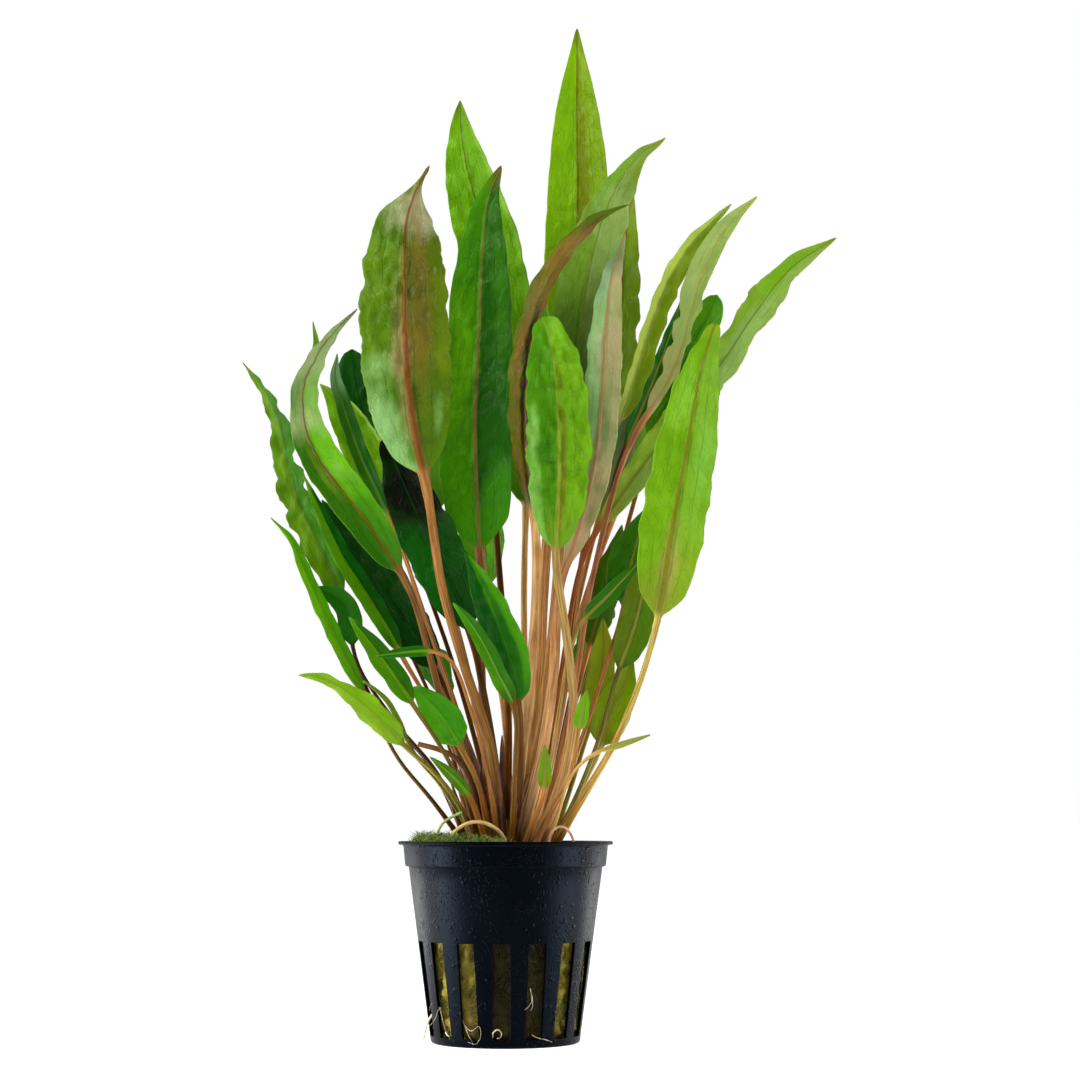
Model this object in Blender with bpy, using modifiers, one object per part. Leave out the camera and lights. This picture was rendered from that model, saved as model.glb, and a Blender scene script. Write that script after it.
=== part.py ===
"""A potted cryptocoryne: a rosette of long-stalked leaves that grows from one crown, set in
rock wool in a black net pot, with moss on the wool and a few roots.

Sizes are in millimetres and become metres when a mesh is made. The origin is the centre of
the pot's underside, +Z is up, and the photograph looks along +Y.

Each leaf's stalk and blade follow a midrib. Its points are photograph pixels, each with its
depth in millimetres, and seen() turns them into real places.
"""

import math
from collections import namedtuple

import bmesh
import bpy
import numpy as np

METRES_PER_MM = 0.001

# The pot, from its rim's 55 mm
RIM_RADIUS = 27.5
POT_HEIGHT = 50.6
LIP_THICKNESS = 0.9
COLLAR_RADIUS = 26.2
COLLAR_HEIGHT = 6.4
SHOULDER_RADIUS = 24.8
BASE_RADIUS = 18.9
COLLAR_TAPER = 0.5
WALL = 0.9
FLOOR = 1.2
SLOT_COUNT = 15
SLOT_WIDTH = 4.5
SLOT_LOW = 2.0
SLOT_HIGH = 25.6
SLOT_CUT_DEPTH = 8.0
SLOT_FIRST_TURN = -1.9
DRAIN_COUNT = 5
DRAIN_RADIUS = 2.2
DRAIN_CIRCLE = 10.5
DRAIN_SIDES = 8
TOUCH_GAP = 0.3
TURN_STEPS = 45

# What fills the pot
WOOL_TOP = 48.2
WELL_RADIUS = 14.2
WELL_FLOOR = 43.5
CROWN_X = 1.5
CROWN_RADIUS = 12.3
CROWN_TOP = 47.6
CROWN_STEPS = 16
WOOL_STEPS = 20
WOOL_CLEARANCE = 0.4
WOOL_SHOULDER_RADIUS = 18.0
MOSS_FROM, MOSS_TO = 82.0, 274.0
MOSS_INNER, MOSS_OUTER = 15.4, 24.2
MOSS_THICKNESS = 2.5
MOSS_LUMP = 0.42
MOSS_TURNS, MOSS_RINGS = 18, 3

# How the photograph was taken, worked out from the pot's ellipses
CAMERA = np.array((8.8, -600.0, 55.0))
CAMERA_PITCH = math.radians(6.97)
FOCAL_PX = 2321.0
CENTRE_PX = 540.0

# Leaves and roots: points along them, and their sections
STALK_BASE_RADIUS = 1.25
STALK_TOP_RADIUS = 1.05
STALK_SPACING = 2.72
LEAN_LENGTH = 32.0
CROWN_PASSES = 400
PARTING_PASSES = 70
LARGEST_ROOM = 2.4
RIB_HALF_THICKNESS = 0.75
TIP_HALF_THICKNESS = 0.22
TIP_HALF_WIDTH = 0.35
TIP_SHARPNESS = 1.1
PER_SPAN = 12
ROOT_ROWS = 10
STALK_ROWS = 14
BLADE_ROWS = 22
SHORT_BLADE = 25.0
NARROW_BLADE = 9.6
SAMPLES_ACROSS = 5

Leaf = namedtuple(
    "Leaf", "name tone width facing fold stem stalk blade outline", defaults=[(0.09, 4.0)]
)

# name, tone, blade width, how far the blade's face turns from the camera at its base and at
# its tip, how steeply its halves fold up, how thick its stalk is, stalk points and blade points
# (pixel, pixel, depth), and how fast the blade widens at its base and how late it narrows
LEAVES = (
    Leaf("leaf_tall_centre", "bright", 17.5, (0, 6), 12, 0.9,
         ((536, 800, 3), (538, 700, 5), (545, 560, 8), (556, 440, 11)),
         ((566, 350, 14), (575, 270, 17), (578, 200, 20), (577, 120, 24), (577, 29, 30)), (0.09, 3.4)),
    Leaf("leaf_right_curl", "fresh", 16.5, (-10, 50), 16, 0.9,
         ((541, 790, 2), (548, 700, 3), (556, 600, 4), (564, 500, 5)),
         ((574, 410, 6), (580, 330, 8), (592, 255, 9), (610, 200, 10), (634, 160, 9), (665, 138, 5))),
    Leaf("leaf_olive_strip", "olive", 12, (-20, -10), 14, 0.8,
         ((548, 800, 6), (558, 700, 9), (575, 600, 13), (590, 510, 17)),
         ((602, 430, 20), (613, 370, 22), (620, 310, 24), (625, 245, 27), (633, 192, 30))),
    Leaf("leaf_bronze_arch", "bronze", 14.5, (-76, -60), 11, 1.0,
         ((523, 815, -3), (527, 700, -5), (536, 600, -8), (538, 560, -9)),
         ((534, 520, -10), (526, 470, -11), (522, 410, -12), (528, 345, -11), (544, 292, -9),
          (568, 251, -6), (598, 219, -3), (628, 205, 1)), (0.09, 4.8)),
    Leaf("leaf_front_centre", "bright", 16.1, (0, 0), 12, 0.9,
         ((555, 826, -8), (570, 750, -11), (573, 700, -13), (567, 640, -15), (559, 590, -17)),
         ((556, 556, -19), (558, 500, -22), (559, 440, -24), (556, 385, -24), (552, 350, -22),
          (547, 330, -18), (542, 318, -12)), (0.12, 5.0)),
    Leaf("leaf_dark_green", "dark", 19, (0, 0), 15, 1.0,
         ((500, 815, -1), (489, 750, -2), (482, 690, -3), (481, 630, -4)),
         ((480, 556, -5), (477, 500, -5), (475, 420, -4), (479, 340, -2), (482, 260, 0), (489, 195, 3),
          (501, 166, 6)), (0.05, 4.0)),
    Leaf("leaf_behind_left", "bright", 17.5, (10, -8), 12, 0.9,
         ((511, 810, 5), (508, 700, 7), (500, 580, 10), (494, 480, 13)),
         ((495, 400, 16), (499, 335, 18), (495, 280, 20), (483, 225, 22), (470, 180, 24),
          (462, 140, 26), (460, 101, 29)), (0.09, 4.4)),
    Leaf("leaf_large_bronze", "bronze_green", 22.6, (180, 180), 10, 1.2,
         ((507, 822, -7), (491, 752, -10), (475, 700, -13), (458, 645, -16), (444, 595, -19),
          (434, 545, -22)),
         ((425, 480, -25), (414, 430, -27), (407, 372, -29), (404, 320, -29), (404, 262, -27),
          (408, 208, -24), (429, 165, -20)), (0.1, 5.2)),
    Leaf("leaf_left_arch", "pale", 10.8, (0, 50), 14, 0.85,
         ((486, 815, -5), (462, 760, -8), (442, 705, -11), (428, 650, -13), (415, 612, -14)),
         ((404, 578, -16), (380, 542, -18), (350, 500, -20), (322, 464, -21), (305, 425, -21),
          (303, 388, -19), (317, 355, -15), (336, 329, -10), (357, 309, -6)), (0.08, 4.0)),
    Leaf("leaf_far_left", "olive_green", 8.5, (0, -52), 14, 0.5,
         ((470, 812, 0), (430, 765, 2), (388, 722, 4), (356, 670, 5)),
         ((343, 612, 6), (334, 580, 6), (318, 545, 7), (301, 508, 8), (289, 472, 9), (283, 435, 9),
          (268, 396, 10), (243, 363, 10))),
    Leaf("leaf_left_strap", "bright", 4.4, (30, 30), 10, 0.45,
         ((447, 808, -6), (418, 782, -7), (388, 745, -8)),
         ((369, 702, -9), (352, 672, -9), (336, 640, -10), (322, 610, -11), (305, 572, -11),
          (292, 541, -10), (271, 518, -9))),
    Leaf("leaf_small_curled", "dark", 6.5, (0, 25), 16, 0.45,
         ((472, 806, -2), (425, 752, -2), (375, 700, -3)),
         ((353, 648, -3), (349, 618, -4), (337, 598, -5), (310, 588, -7))),
    Leaf("leaf_low_left", "yellow_green", 7, (20, 20), 12, 0.5,
         ((482, 826, -9), (455, 796, -11), (428, 768, -13)),
         ((406, 747, -14), (379, 720, -16), (352, 696, -17), (326, 680, -18), (299, 675, -19))),
    Leaf("leaf_low_thin", "yellow_green", 1.9, (15, 15), 10, 0.4,
         ((474, 822, -6), (444, 790, -7)),
         ((412, 750, -8), (398, 720, -8), (384, 697, -9), (363, 681, -10))),
    Leaf("leaf_mid_left_strap", "deep", 6, (20, 10), 12, 0.5,
         ((487, 820, -10), (458, 775, -14), (436, 742, -17)),
         ((414, 706, -20), (398, 682, -22), (381, 658, -23), (366, 638, -24), (349, 617, -25))),
    Leaf("leaf_small_flat", "deep", 2.8, (10, 10), 10, 0.45,
         ((497, 822, -11), (482, 750, -18), (464, 690, -23), (450, 660, -26)),
         ((436, 652, -27), (410, 652, -28), (376, 656, -29))),
    Leaf("leaf_green_strap", "deep", 5.6, (15, 20), 12, 0.55,
         ((481, 812, -1), (460, 760, 0), (430, 705, 1)),
         ((404, 660, 1), (385, 625, 1), (362, 588, 1), (340, 553, 1), (322, 515, 1), (304, 476, 1))),
    Leaf("leaf_low_bright", "bright", 9, (0, 0), 12, 0.6,
         ((494, 820, -11), (480, 788, -14)),
         ((461, 748, -17), (449, 727, -18), (433, 706, -19), (413, 687, -20))),
    Leaf("leaf_low_small", "deep", 3.2, (10, 10), 12, 0.5,
         ((489, 828, -11),),
         ((471, 800, -14), (452, 776, -17), (430, 757, -20))),
    Leaf("leaf_cut_stub", "olive", 1.6, (0, 0), 10, 0.5,
         ((486, 818, -8), (472, 785, -9)),
         ((458, 760, -11), (440, 750, -12), (418, 744, -13)), (0.09, 9.0)),
    Leaf("leaf_folded_dark", "dark", 4.6, (-20, 30), 18, 0.6,
         ((488, 808, 1), (466, 740, 2), (436, 650, 2), (412, 575, 2)),
         ((394, 530, 2), (379, 496, 2), (363, 462, 2), (351, 430, 3), (342, 402, 4), (335, 378, 5),
          (337, 354, 7)), (0.09, 8.0)),
    Leaf("leaf_dark_round", "dark", 10.4, (0, 0), 14, 0.6,
         ((491, 806, 7), (470, 720, 10), (438, 620, 14), (410, 545, 17)),
         ((388, 488, 19), (370, 440, 20), (359, 405, 20), (353, 375, 19), (352, 349, 17)), (0.12, 9.0)),
    Leaf("leaf_spotted_left", "yellow_green", 11, (0, 0), 12, 0.6,
         ((480, 806, 7), (457, 725, 9), (425, 620, 11), (404, 560, 12)),
         ((393, 517, 12), (378, 477, 12), (362, 447, 12), (346, 418, 12), (333, 398, 12), (320, 384, 12)),
         (0.09, 4.5)),
    Leaf("leaf_behind_arch", "fresh", 4.6, (10, 10), 14, 0.5,
         ((476, 806, 6), (440, 720, 12), (397, 625, 18), (366, 560, 19)),
         ((340, 512, 17), (316, 470, 12), (303, 430, 7), (301, 395, 4), (309, 362, 4), (318, 342, 4),
          (313, 322, 5))),
    Leaf("leaf_shaded_left", "shade", 14.5, (10, 0), 14, 0.9,
         ((502, 812, -4), (494, 755, -6), (483, 690, -9)),
         ((470, 632, -11), (452, 588, -13), (430, 542, -14), (407, 492, -14), (385, 436, -13)),
         (0.09, 5.0)),
    Leaf("leaf_shaded_low", "shade", 12, (15, 5), 14, 0.8,
         ((490, 806, 3), (466, 740, 5)),
         ((436, 672, 8), (406, 625, 9), (373, 577, 10), (346, 538, 11), (322, 500, 12))),
    Leaf("leaf_low_centre_dark", "deep", 10, (15, 20), 18, 0.8,
         ((521, 822, -9), (521, 765, -12)),
         ((518, 706, -15), (511, 668, -17), (498, 630, -18), (482, 590, -19), (465, 552, -20))),
    Leaf("leaf_low_centre_bright", "bright", 7, (5, 0), 12, 0.7,
         ((513, 826, -12), (515, 770, -17)),
         ((514, 708, -21), (500, 678, -23), (484, 645, -24), (468, 620, -25), (453, 603, -26))),
    Leaf("leaf_right_front", "yellow_green", 16.2, (0, -12), 12, 0.75,
         ((566, 824, -8), (592, 782, -11), (614, 744, -14), (632, 704, -17), (645, 664, -19)),
         ((657, 622, -21), (667, 562, -24), (676, 508, -26), (687, 450, -27), (696, 395, -26),
          (706, 352, -23), (716, 322, -17)), (0.08, 4.0)),
    Leaf("leaf_right_far", "pale_right", 8.9, (10, -14), 14, 0.7,
         ((548, 812, 1), (556, 720, 3), (570, 610, 5)),
         ((590, 543, 6), (620, 497, 6), (656, 448, 6), (700, 392, 6), (738, 340, 6), (766, 298, 7),
          (797, 263, 8), (836, 238, 10)), (0.13, 7.0)),
    Leaf("leaf_grey_pink", "grey_pink", 9.4, (180, 170), 12, 0.85,
         ((543, 818, -5), (549, 720, -7), (555, 640, -9)),
         ((561, 584, -11), (578, 530, -13), (592, 478, -14), (600, 420, -14), (604, 360, -13),
          (608, 300, -10), (615, 262, -7), (625, 234, -4)), (0.155, 5.5)),
    Leaf("leaf_tan_fold", "olive_tan", 8, (46, 44), 22, 0.75,
         ((546, 812, 3), (560, 720, 5), (574, 610, 7), (592, 510, 9)),
         ((613, 434, 10), (630, 388, 11), (642, 350, 12), (654, 314, 13), (668, 279, 14),
          (686, 250, 15), (706, 227, 16), (731, 204, 17))),
    Leaf("leaf_tall_right", "grey_green", 8.4, (-60, -50), 18, 0.8,
         ((553, 815, -3), (574, 690, -3), (592, 580, -3), (618, 480, -3)),
         ((641, 424, -3), (657, 401, -3), (673, 374, -3), (683, 345, -3), (692, 312, -3), (700, 283, -2),
          (710, 257, -1), (723, 234, 0), (738, 214, 2), (757, 197, 4))),
    Leaf("leaf_dark_strip", "dark", 4.6, (20, 20), 14, 0.6,
         ((553, 806, 6), (570, 700, 10), (592, 590, 14), (608, 500, 16)),
         ((622, 455, 17), (640, 412, 18), (655, 376, 18), (666, 345, 18), (676, 318, 19), (685, 291, 20))),
    Leaf("leaf_right_rounded", "deep", 9.4, (-12, 0), 14, 0.65,
         ((561, 806, 10), (582, 700, 15), (608, 600, 19), (630, 520, 22)),
         ((650, 450, 24), (667, 404, 25), (683, 364, 26), (698, 334, 27), (710, 312, 28), (717, 295, 29)),
         (0.1, 12.0)),
    Leaf("leaf_blue_grey", "grey_green", 8, (0, 0), 14, 0.7,
         ((539, 806, 7), (555, 720, 14), (576, 610, 22)),
         ((597, 525, 27), (611, 474, 30), (624, 428, 32), (634, 385, 34), (636, 340, 36))),
    Leaf("leaf_green_behind", "deep", 12, (-10, 0), 14, 0.6,
         ((560, 815, 2), (580, 745, -3), (597, 692, -6), (612, 648, -7)),
         ((624, 606, -6), (630, 572, -5), (638, 538, -5), (652, 502, -5))),
    Leaf("leaf_grey_low", "grey_green", 9, (-20, -20), 14, 0.65,
         ((551, 812, 5), (566, 735, 10)),
         ((588, 650, 14), (602, 603, 15), (613, 565, 16), (622, 525, 17))),
    Leaf("leaf_dark_strap", "dark", 4.4, (0, 0), 12, 0.5,
         ((549, 822, -7), (556, 740, -9), (566, 660, -10)),
         ((582, 622, -11), (600, 604, -13), (620, 583, -14), (641, 560, -15))),
    Leaf("leaf_olive_low", "olive", 9, (10, 10), 14, 0.5,
         ((571, 818, -1), (592, 760, -2), (606, 712, -4)),
         ((618, 672, -5), (630, 640, -6), (640, 605, -7), (648, 566, -8), (652, 528, -9))),
    Leaf("leaf_yellow_low", "yellow_green", 7.4, (0, 0), 12, 0.5,
         ((563, 812, 6), (578, 765, 8)),
         ((591, 722, 9), (599, 690, 10), (603, 655, 10), (603, 618, 11))),
    Leaf("leaf_yellow_low_front", "yellow_green", 9.5, (0, 0), 12, 0.55,
         ((573, 814, 3), (588, 776, 3)),
         ((600, 748, 3), (610, 718, 2), (622, 690, 2), (633, 656, 1))),
    Leaf("leaf_thin_right", "deep", 1.8, (0, 0), 10, 0.36,
         ((552, 828, -10), (566, 786, -15), (580, 762, -19)),
         ((598, 752, -21), (620, 745, -23), (650, 735, -25))),
    Leaf("leaf_small_centre", "deep", 3.4, (0, 0), 12, 0.5,
         ((537, 828, -12),),
         ((543, 792, -16), (545, 768, -19), (545, 745, -22))),
    Leaf("leaf_small_right", "deep", 3.6, (0, 0), 12, 0.5,
         ((561, 828, -9), (572, 772, -14)),
         ((578, 732, -18), (583, 709, -20), (587, 690, -21))),
    Leaf("leaf_back_centre", "fresh", 15, (0, 0), 14, 0.9,
         ((524, 806, 9), (524, 700, 17), (524, 600, 26)),
         ((526, 510, 33), (530, 430, 39), (537, 350, 45), (545, 290, 50))),
    Leaf("leaf_back_left", "fresh", 17, (42, 50), 14, 0.9,
         ((500, 806, 9), (474, 700, 18), (450, 600, 27)),
         ((432, 520, 34), (418, 440, 40), (410, 360, 44), (410, 280, 47))),
    Leaf("leaf_back_right", "bright", 16, (-42, -50), 14, 0.9,
         ((535, 802, 10), (556, 700, 21), (585, 600, 31)),
         ((612, 520, 38), (634, 460, 43), (650, 400, 47), (664, 350, 50))),
    Leaf("leaf_back_low_left", "deep", 12, (45, 45), 14, 0.8,
         ((497, 812, 9), (474, 760, 17)),
         ((446, 700, 27), (424, 655, 35), (402, 618, 42), (386, 585, 48))),
    Leaf("leaf_back_low_right", "deep", 12, (-45, -45), 14, 0.8,
         ((551, 812, 12), (560, 760, 20)),
         ((575, 700, 31), (592, 650, 40), (604, 606, 48), (612, 565, 54))),
    Leaf("leaf_back_mid", "fresh", 13, (-5, -5), 14, 0.8,
         ((515, 810, 11), (507, 740, 21), (496, 660, 33)),
         ((488, 590, 43), (480, 520, 52), (474, 450, 60), (470, 400, 66))),
)

# The roots at the rim: name, radius, and points as pixel, pixel and depth. They come down to
# the moss or the wool behind the rim.
ROOTS = (
    ("root_arch_tan", 0.55,
     ((452, 834, -19), (460, 827, -19), (471, 822, -19), (482, 822, -19), (492, 826, -18),
      (501, 833, -17), (506, 842, -16.5))),
    ("root_arch_green", 0.4, ((437, 833, -15), (443, 823, -15), (450, 818, -15.5), (462, 812, -16))),
    ("root_curl_right", 0.4,
     ((549, 847, -16.5), (551, 834, -17), (557, 827, -17), (564, 827, -17), (571, 834, -17),
      (575, 847, -17))),
)

# The root that comes out of a slot: which slot, and its points as radius and height
LOW_ROOT_SLOT = 3
LOW_ROOT_RADIUS = 0.35
LOW_ROOT_ROUTE = ((19.0, 7.4), (20.2, 5.6), (20.9, 3.4), (21.4, 0.9))

# Colour and roughness of each tone. None is metal.
TONES = {
    "pot": ((0.012, 0.014, 0.022), 0.32),
    "wool": ((0.30, 0.26, 0.09), 0.95),
    "moss": ((0.16, 0.27, 0.04), 0.95),
    "crown": ((0.34, 0.22, 0.10), 0.80),
    "root_pale": ((0.80, 0.76, 0.62), 0.60),
    "root_tan": ((0.66, 0.50, 0.28), 0.60),
    "bright": ((0.20, 0.46, 0.03), 0.40),
    "fresh": ((0.15, 0.38, 0.04), 0.40),
    "deep": ((0.07, 0.26, 0.02), 0.40),
    "dark": ((0.04, 0.18, 0.02), 0.38),
    "shade": ((0.02, 0.10, 0.01), 0.42),
    "olive": ((0.20, 0.28, 0.03), 0.42),
    "olive_green": ((0.16, 0.30, 0.04), 0.42),
    "olive_tan": ((0.30, 0.33, 0.07), 0.42),
    "yellow_green": ((0.24, 0.47, 0.04), 0.40),
    "pale": ((0.26, 0.46, 0.12), 0.40),
    "pale_right": ((0.24, 0.44, 0.07), 0.40),
    "bronze": ((0.26, 0.22, 0.08), 0.42),
    "bronze_green": ((0.16, 0.24, 0.04), 0.42),
    "grey_pink": ((0.36, 0.36, 0.22), 0.45),
    "grey_green": ((0.28, 0.36, 0.14), 0.45),
}


def seen(pixel_x, pixel_y, depth):
    """The real place at this depth that the photograph shows at this pixel."""
    forward = np.array((0.0, math.cos(CAMERA_PITCH), math.sin(CAMERA_PITCH)))
    up = np.array((0.0, -math.sin(CAMERA_PITCH), math.cos(CAMERA_PITCH)))
    ray = forward - up * (pixel_y - CENTRE_PX) / FOCAL_PX
    ray[0] = (pixel_x - CENTRE_PX) / FOCAL_PX
    return CAMERA + ray * (depth - CAMERA[1]) / ray[1]


def unit(vectors):
    return vectors / np.maximum(np.linalg.norm(vectors, axis=-1, keepdims=True), 1e-9)


def smooth_line(points, per_span):
    """A Catmull-Rom curve through the points, its knots spaced by the roots of the chords."""
    points = np.asarray(points, float)
    chords = np.linalg.norm(np.diff(points, axis=0), axis=1)
    knots = np.concatenate([[0.0], np.cumsum(chords**0.5)])
    slopes = np.gradient(points, knots, axis=0)
    pieces = []
    for k in range(len(points) - 1):
        t = np.linspace(0.0, 1.0, per_span, endpoint=False)[:, None]
        span = knots[k + 1] - knots[k]
        pieces.append(
            points[k] * (2 * t**3 - 3 * t**2 + 1)
            + slopes[k] * span * (t**3 - 2 * t**2 + t)
            + points[k + 1] * (3 * t**2 - 2 * t**3)
            + slopes[k + 1] * span * (t**3 - t**2)
        )
    return np.vstack(pieces + [points[-1:]])


def spaced(line, count):
    """The same line as this many points at even distances."""
    along = np.concatenate([[0.0], np.cumsum(np.linalg.norm(np.diff(line, axis=0), axis=1))])
    wanted = np.linspace(0.0, along[-1], count)
    return np.stack([np.interp(wanted, along, line[:, k]) for k in range(3)], axis=1)


def lean(leaf):
    """How far and which way a leaf has gone from the crown's middle, a little way up."""
    line = spaced(smooth_line([seen(*point) for point in leaf.stalk + leaf.blade], PER_SPAN), 60)
    climbed = np.concatenate([[0.0], np.cumsum(np.linalg.norm(np.diff(line, axis=0), axis=1))])
    row = min(np.searchsorted(climbed, LEAN_LENGTH), len(line) - 1)
    return line[row][:2] - (CROWN_X, 0.0)


def crown_places():
    """Where each stalk leaves the crown. The more it leans, the farther out it starts, so that
    no two cross, and all are moved apart to fit."""
    centre = np.array((CROWN_X, 0.0))
    reach = CROWN_RADIUS - STALK_BASE_RADIUS - 0.4
    leans = np.array([lean(leaf) for leaf in LEAVES])
    order = np.argsort(np.argsort(np.linalg.norm(leans, axis=1)))
    places = centre + unit(leans) * reach * np.sqrt((order[:, None] + 0.5) / len(LEAVES))
    for _ in range(CROWN_PASSES):
        gap = places[:, None] - places[None]
        distance = np.linalg.norm(gap, axis=2) + np.eye(len(places)) * 99.0
        push = np.clip(STALK_SPACING * 1.02 - distance, 0.0, None) / distance
        places = places + 0.45 * (gap * push[..., None]).sum(axis=1)
        away = places - centre
        radius = np.linalg.norm(away, axis=1, keepdims=True)
        places = centre + away * np.minimum(1.0, reach / np.maximum(radius, 1e-9))
    return places


def midrib(leaf, place):
    """Points along a leaf from the crown to the tip: first the stalk's rows, then the blade's.
    The stalk's own place on the crown stands in for its first point."""
    root = np.array((place[0], place[1], CROWN_TOP + TOUCH_GAP))
    line = smooth_line([root] + [seen(*point) for point in leaf.stalk[1:] + leaf.blade], PER_SPAN)
    turn = PER_SPAN * len(leaf.stalk)
    return np.vstack([spaced(line[: turn + 1], STALK_ROWS + 1)[:-1], spaced(line[turn:], BLADE_ROWS)])


def blade_share(rows):
    """How far along the blade each row is, 0 along the stalk."""
    share = np.linspace(0.0, 1.0, BLADE_ROWS)
    return np.concatenate([np.zeros(rows - BLADE_ROWS), share])


def half_widths(leaf):
    """Half the leaf's width at each row: a stalk, then a blade that widens and narrows to a tip."""
    share = blade_share(STALK_ROWS + BLADE_ROWS)
    widening, narrowing = leaf.outline
    outline = (1.0 - np.exp(-share / widening)) * (1.0 - share**narrowing) ** TIP_SHARPNESS
    outline /= outline.max()
    stalk = np.linspace(STALK_BASE_RADIUS, STALK_TOP_RADIUS, len(share))
    stalk = np.where(share > 0.0, np.maximum(stalk * (1.0 - share), TIP_HALF_WIDTH), stalk)
    return np.maximum(outline * leaf.width / 2.0, stalk * leaf.stem)


def axes_along(leaf, line):
    """At each row of a leaf, the way to its right edge and the way its upper face looks."""
    along = unit(np.gradient(line, axis=0))
    to_camera = unit(CAMERA - line)
    face = unit(to_camera - along * (to_camera * along).sum(axis=1, keepdims=True))
    side = np.cross(along, face)
    share = blade_share(len(line))
    turn = np.radians(leaf.facing[0] + (leaf.facing[1] - leaf.facing[0]) * share)[:, None]
    return side * np.cos(turn) - face * np.sin(turn), face * np.cos(turn) + side * np.sin(turn)


def samples(leaf, line):
    """Points over a leaf, five across each row, with the room that each one keeps."""
    side, face = axes_along(leaf, line)
    half = half_widths(leaf)
    rise = math.tan(math.radians(leaf.fold))
    across = np.linspace(-0.85, 0.85, SAMPLES_ACROSS)
    reach = half[:, None] * across[None]
    points = (
        line[:, None]
        + side[:, None] * reach[..., None]
        + face[:, None] * (np.abs(reach) * rise)[..., None]
    )
    in_blade = blade_share(len(line)) > 0.0
    room = np.where(in_blade, np.clip(half * 0.23 + 1.05, 1.2, LARGEST_ROOM), half + 0.2)
    return points, np.repeat(room[:, None], SAMPLES_ACROSS, axis=1)


def part_leaves(lines):
    """Moves leaves that meet apart, along the camera's rays, so that they stay where they are
    seen. Stalks also move sideways."""
    rows = STALK_ROWS + BLADE_ROWS
    row_of = np.repeat(np.arange(rows), SAMPLES_ACROSS)
    in_blade = row_of >= STALK_ROWS
    for _ in range(PARTING_PASSES):
        clouds = [samples(leaf, line) for leaf, line in zip(LEAVES, lines)]
        points = [cloud[0].reshape(-1, 3) for cloud in clouds]
        rooms = [cloud[1].reshape(-1) for cloud in clouds]
        lows = np.array([cloud.min(axis=0) - LARGEST_ROOM for cloud in points])
        highs = np.array([cloud.max(axis=0) + LARGEST_ROOM for cloud in points])
        moves = [np.zeros((rows, 3)) for _ in lines]
        for a in range(len(lines)):
            for b in range(a + 1, len(lines)):
                if (lows[a] > highs[b]).any() or (lows[b] > highs[a]).any():
                    continue
                gap = points[a][:, None] - points[b][None]
                distance = np.sqrt((gap**2).sum(axis=2)) + 1e-6
                short = rooms[a][:, None] + rooms[b][None] - distance
                first, second = np.nonzero(short > 0.0)
                if not len(first):
                    continue
                need = short[first, second]
                way = gap[first, second] / distance[first, second][:, None]
                stalks = ~in_blade[first] & ~in_blade[second]
                ray = unit(points[a][first] - CAMERA)
                depth = ((points[a][first] - points[b][second]) * ray).sum(axis=1)
                if not stalks.all():
                    behind = 1.0 if (depth * need)[~stalks].sum() >= 0.0 else -1.0
                    way[~stalks] = ray[~stalks] * behind
                step = way * (need * 0.5)[:, None]
                for mine, cloud_rows, sign in ((a, row_of[first], 1.0), (b, row_of[second], -1.0)):
                    total = np.zeros((rows, 3))
                    count = np.zeros(rows)
                    np.add.at(total, cloud_rows, sign * step)
                    np.add.at(count, cloud_rows, 1.0)
                    moves[mine] += total / np.maximum(count, 1.0)[:, None]
        hold = np.clip(np.arange(rows) / 4.0, 0.0, 1.0)[:, None]
        for line, move in zip(lines, moves):
            for _ in range(3):
                padded = np.vstack([move[:1], move, move[-1:]])
                move = (padded[:-2] + 2.0 * move + padded[2:]) / 4.0
            line += move * hold * 0.8
    return lines


def leaf_rings(leaf, line):
    """Six-sided sections along a leaf: right edge, two points above, left edge, two below. A
    blade's edges lift above its midrib by its fold."""
    length = np.linalg.norm(np.diff(line[STALK_ROWS:], axis=0), axis=1).sum()
    if length < SHORT_BLADE:
        stalk_rings, blade_rings = 3, 6
    elif leaf.width < NARROW_BLADE:
        stalk_rings, blade_rings = 3, 8
    else:
        stalk_rings, blade_rings = 4, 10
    rows = np.concatenate(
        [
            np.linspace(0, STALK_ROWS, stalk_rings, endpoint=False),
            np.linspace(STALK_ROWS, STALK_ROWS + BLADE_ROWS - 1, blade_rings),
        ]
    )
    pick = np.round(rows).astype(int)
    side, face = axes_along(leaf, line)
    half = half_widths(leaf)
    share = blade_share(len(line))
    rise = math.tan(math.radians(leaf.fold))
    rings = []
    for row in pick:
        width = half[row]
        if row <= STALK_ROWS:
            inner, thick, lift = 0.5, 0.87 * width, 0.0
        else:
            inner = 0.34
            thick = RIB_HALF_THICKNESS + (TIP_HALF_THICKNESS - RIB_HALF_THICKNESS) * share[row] ** 0.5
            thick *= min(1.0, 0.45 + leaf.width / 20.0)
            lift = rise * width
        sag = lift * inner * 0.6
        section = (
            (1.0, lift),
            (inner, sag + thick),
            (-inner, sag + thick),
            (-1.0, lift),
            (-inner, sag - thick),
            (inner, sag - thick),
        )
        rings.append([line[row] + side[row] * x * width + face[row] * z for x, z in section])
    for point in rings[0]:
        point[2] = line[0][2]
    return rings


def material(name, tone):
    made = bpy.data.materials.new(name)
    made.use_nodes = True
    shader = made.node_tree.nodes["Principled BSDF"]
    colour, roughness = TONES[tone]
    shader.inputs["Base Color"].default_value = (*colour, 1.0)
    shader.inputs["Roughness"].default_value = roughness
    shader.inputs["Metallic"].default_value = 0.0
    made.diffuse_color = (*colour, 1.0)
    return made


def finish(obj, tone, collection):
    obj.data.materials.append(material(obj.name, tone))
    for holder in list(obj.users_collection):
        holder.objects.unlink(obj)
    collection.objects.link(obj)
    return obj


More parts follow.
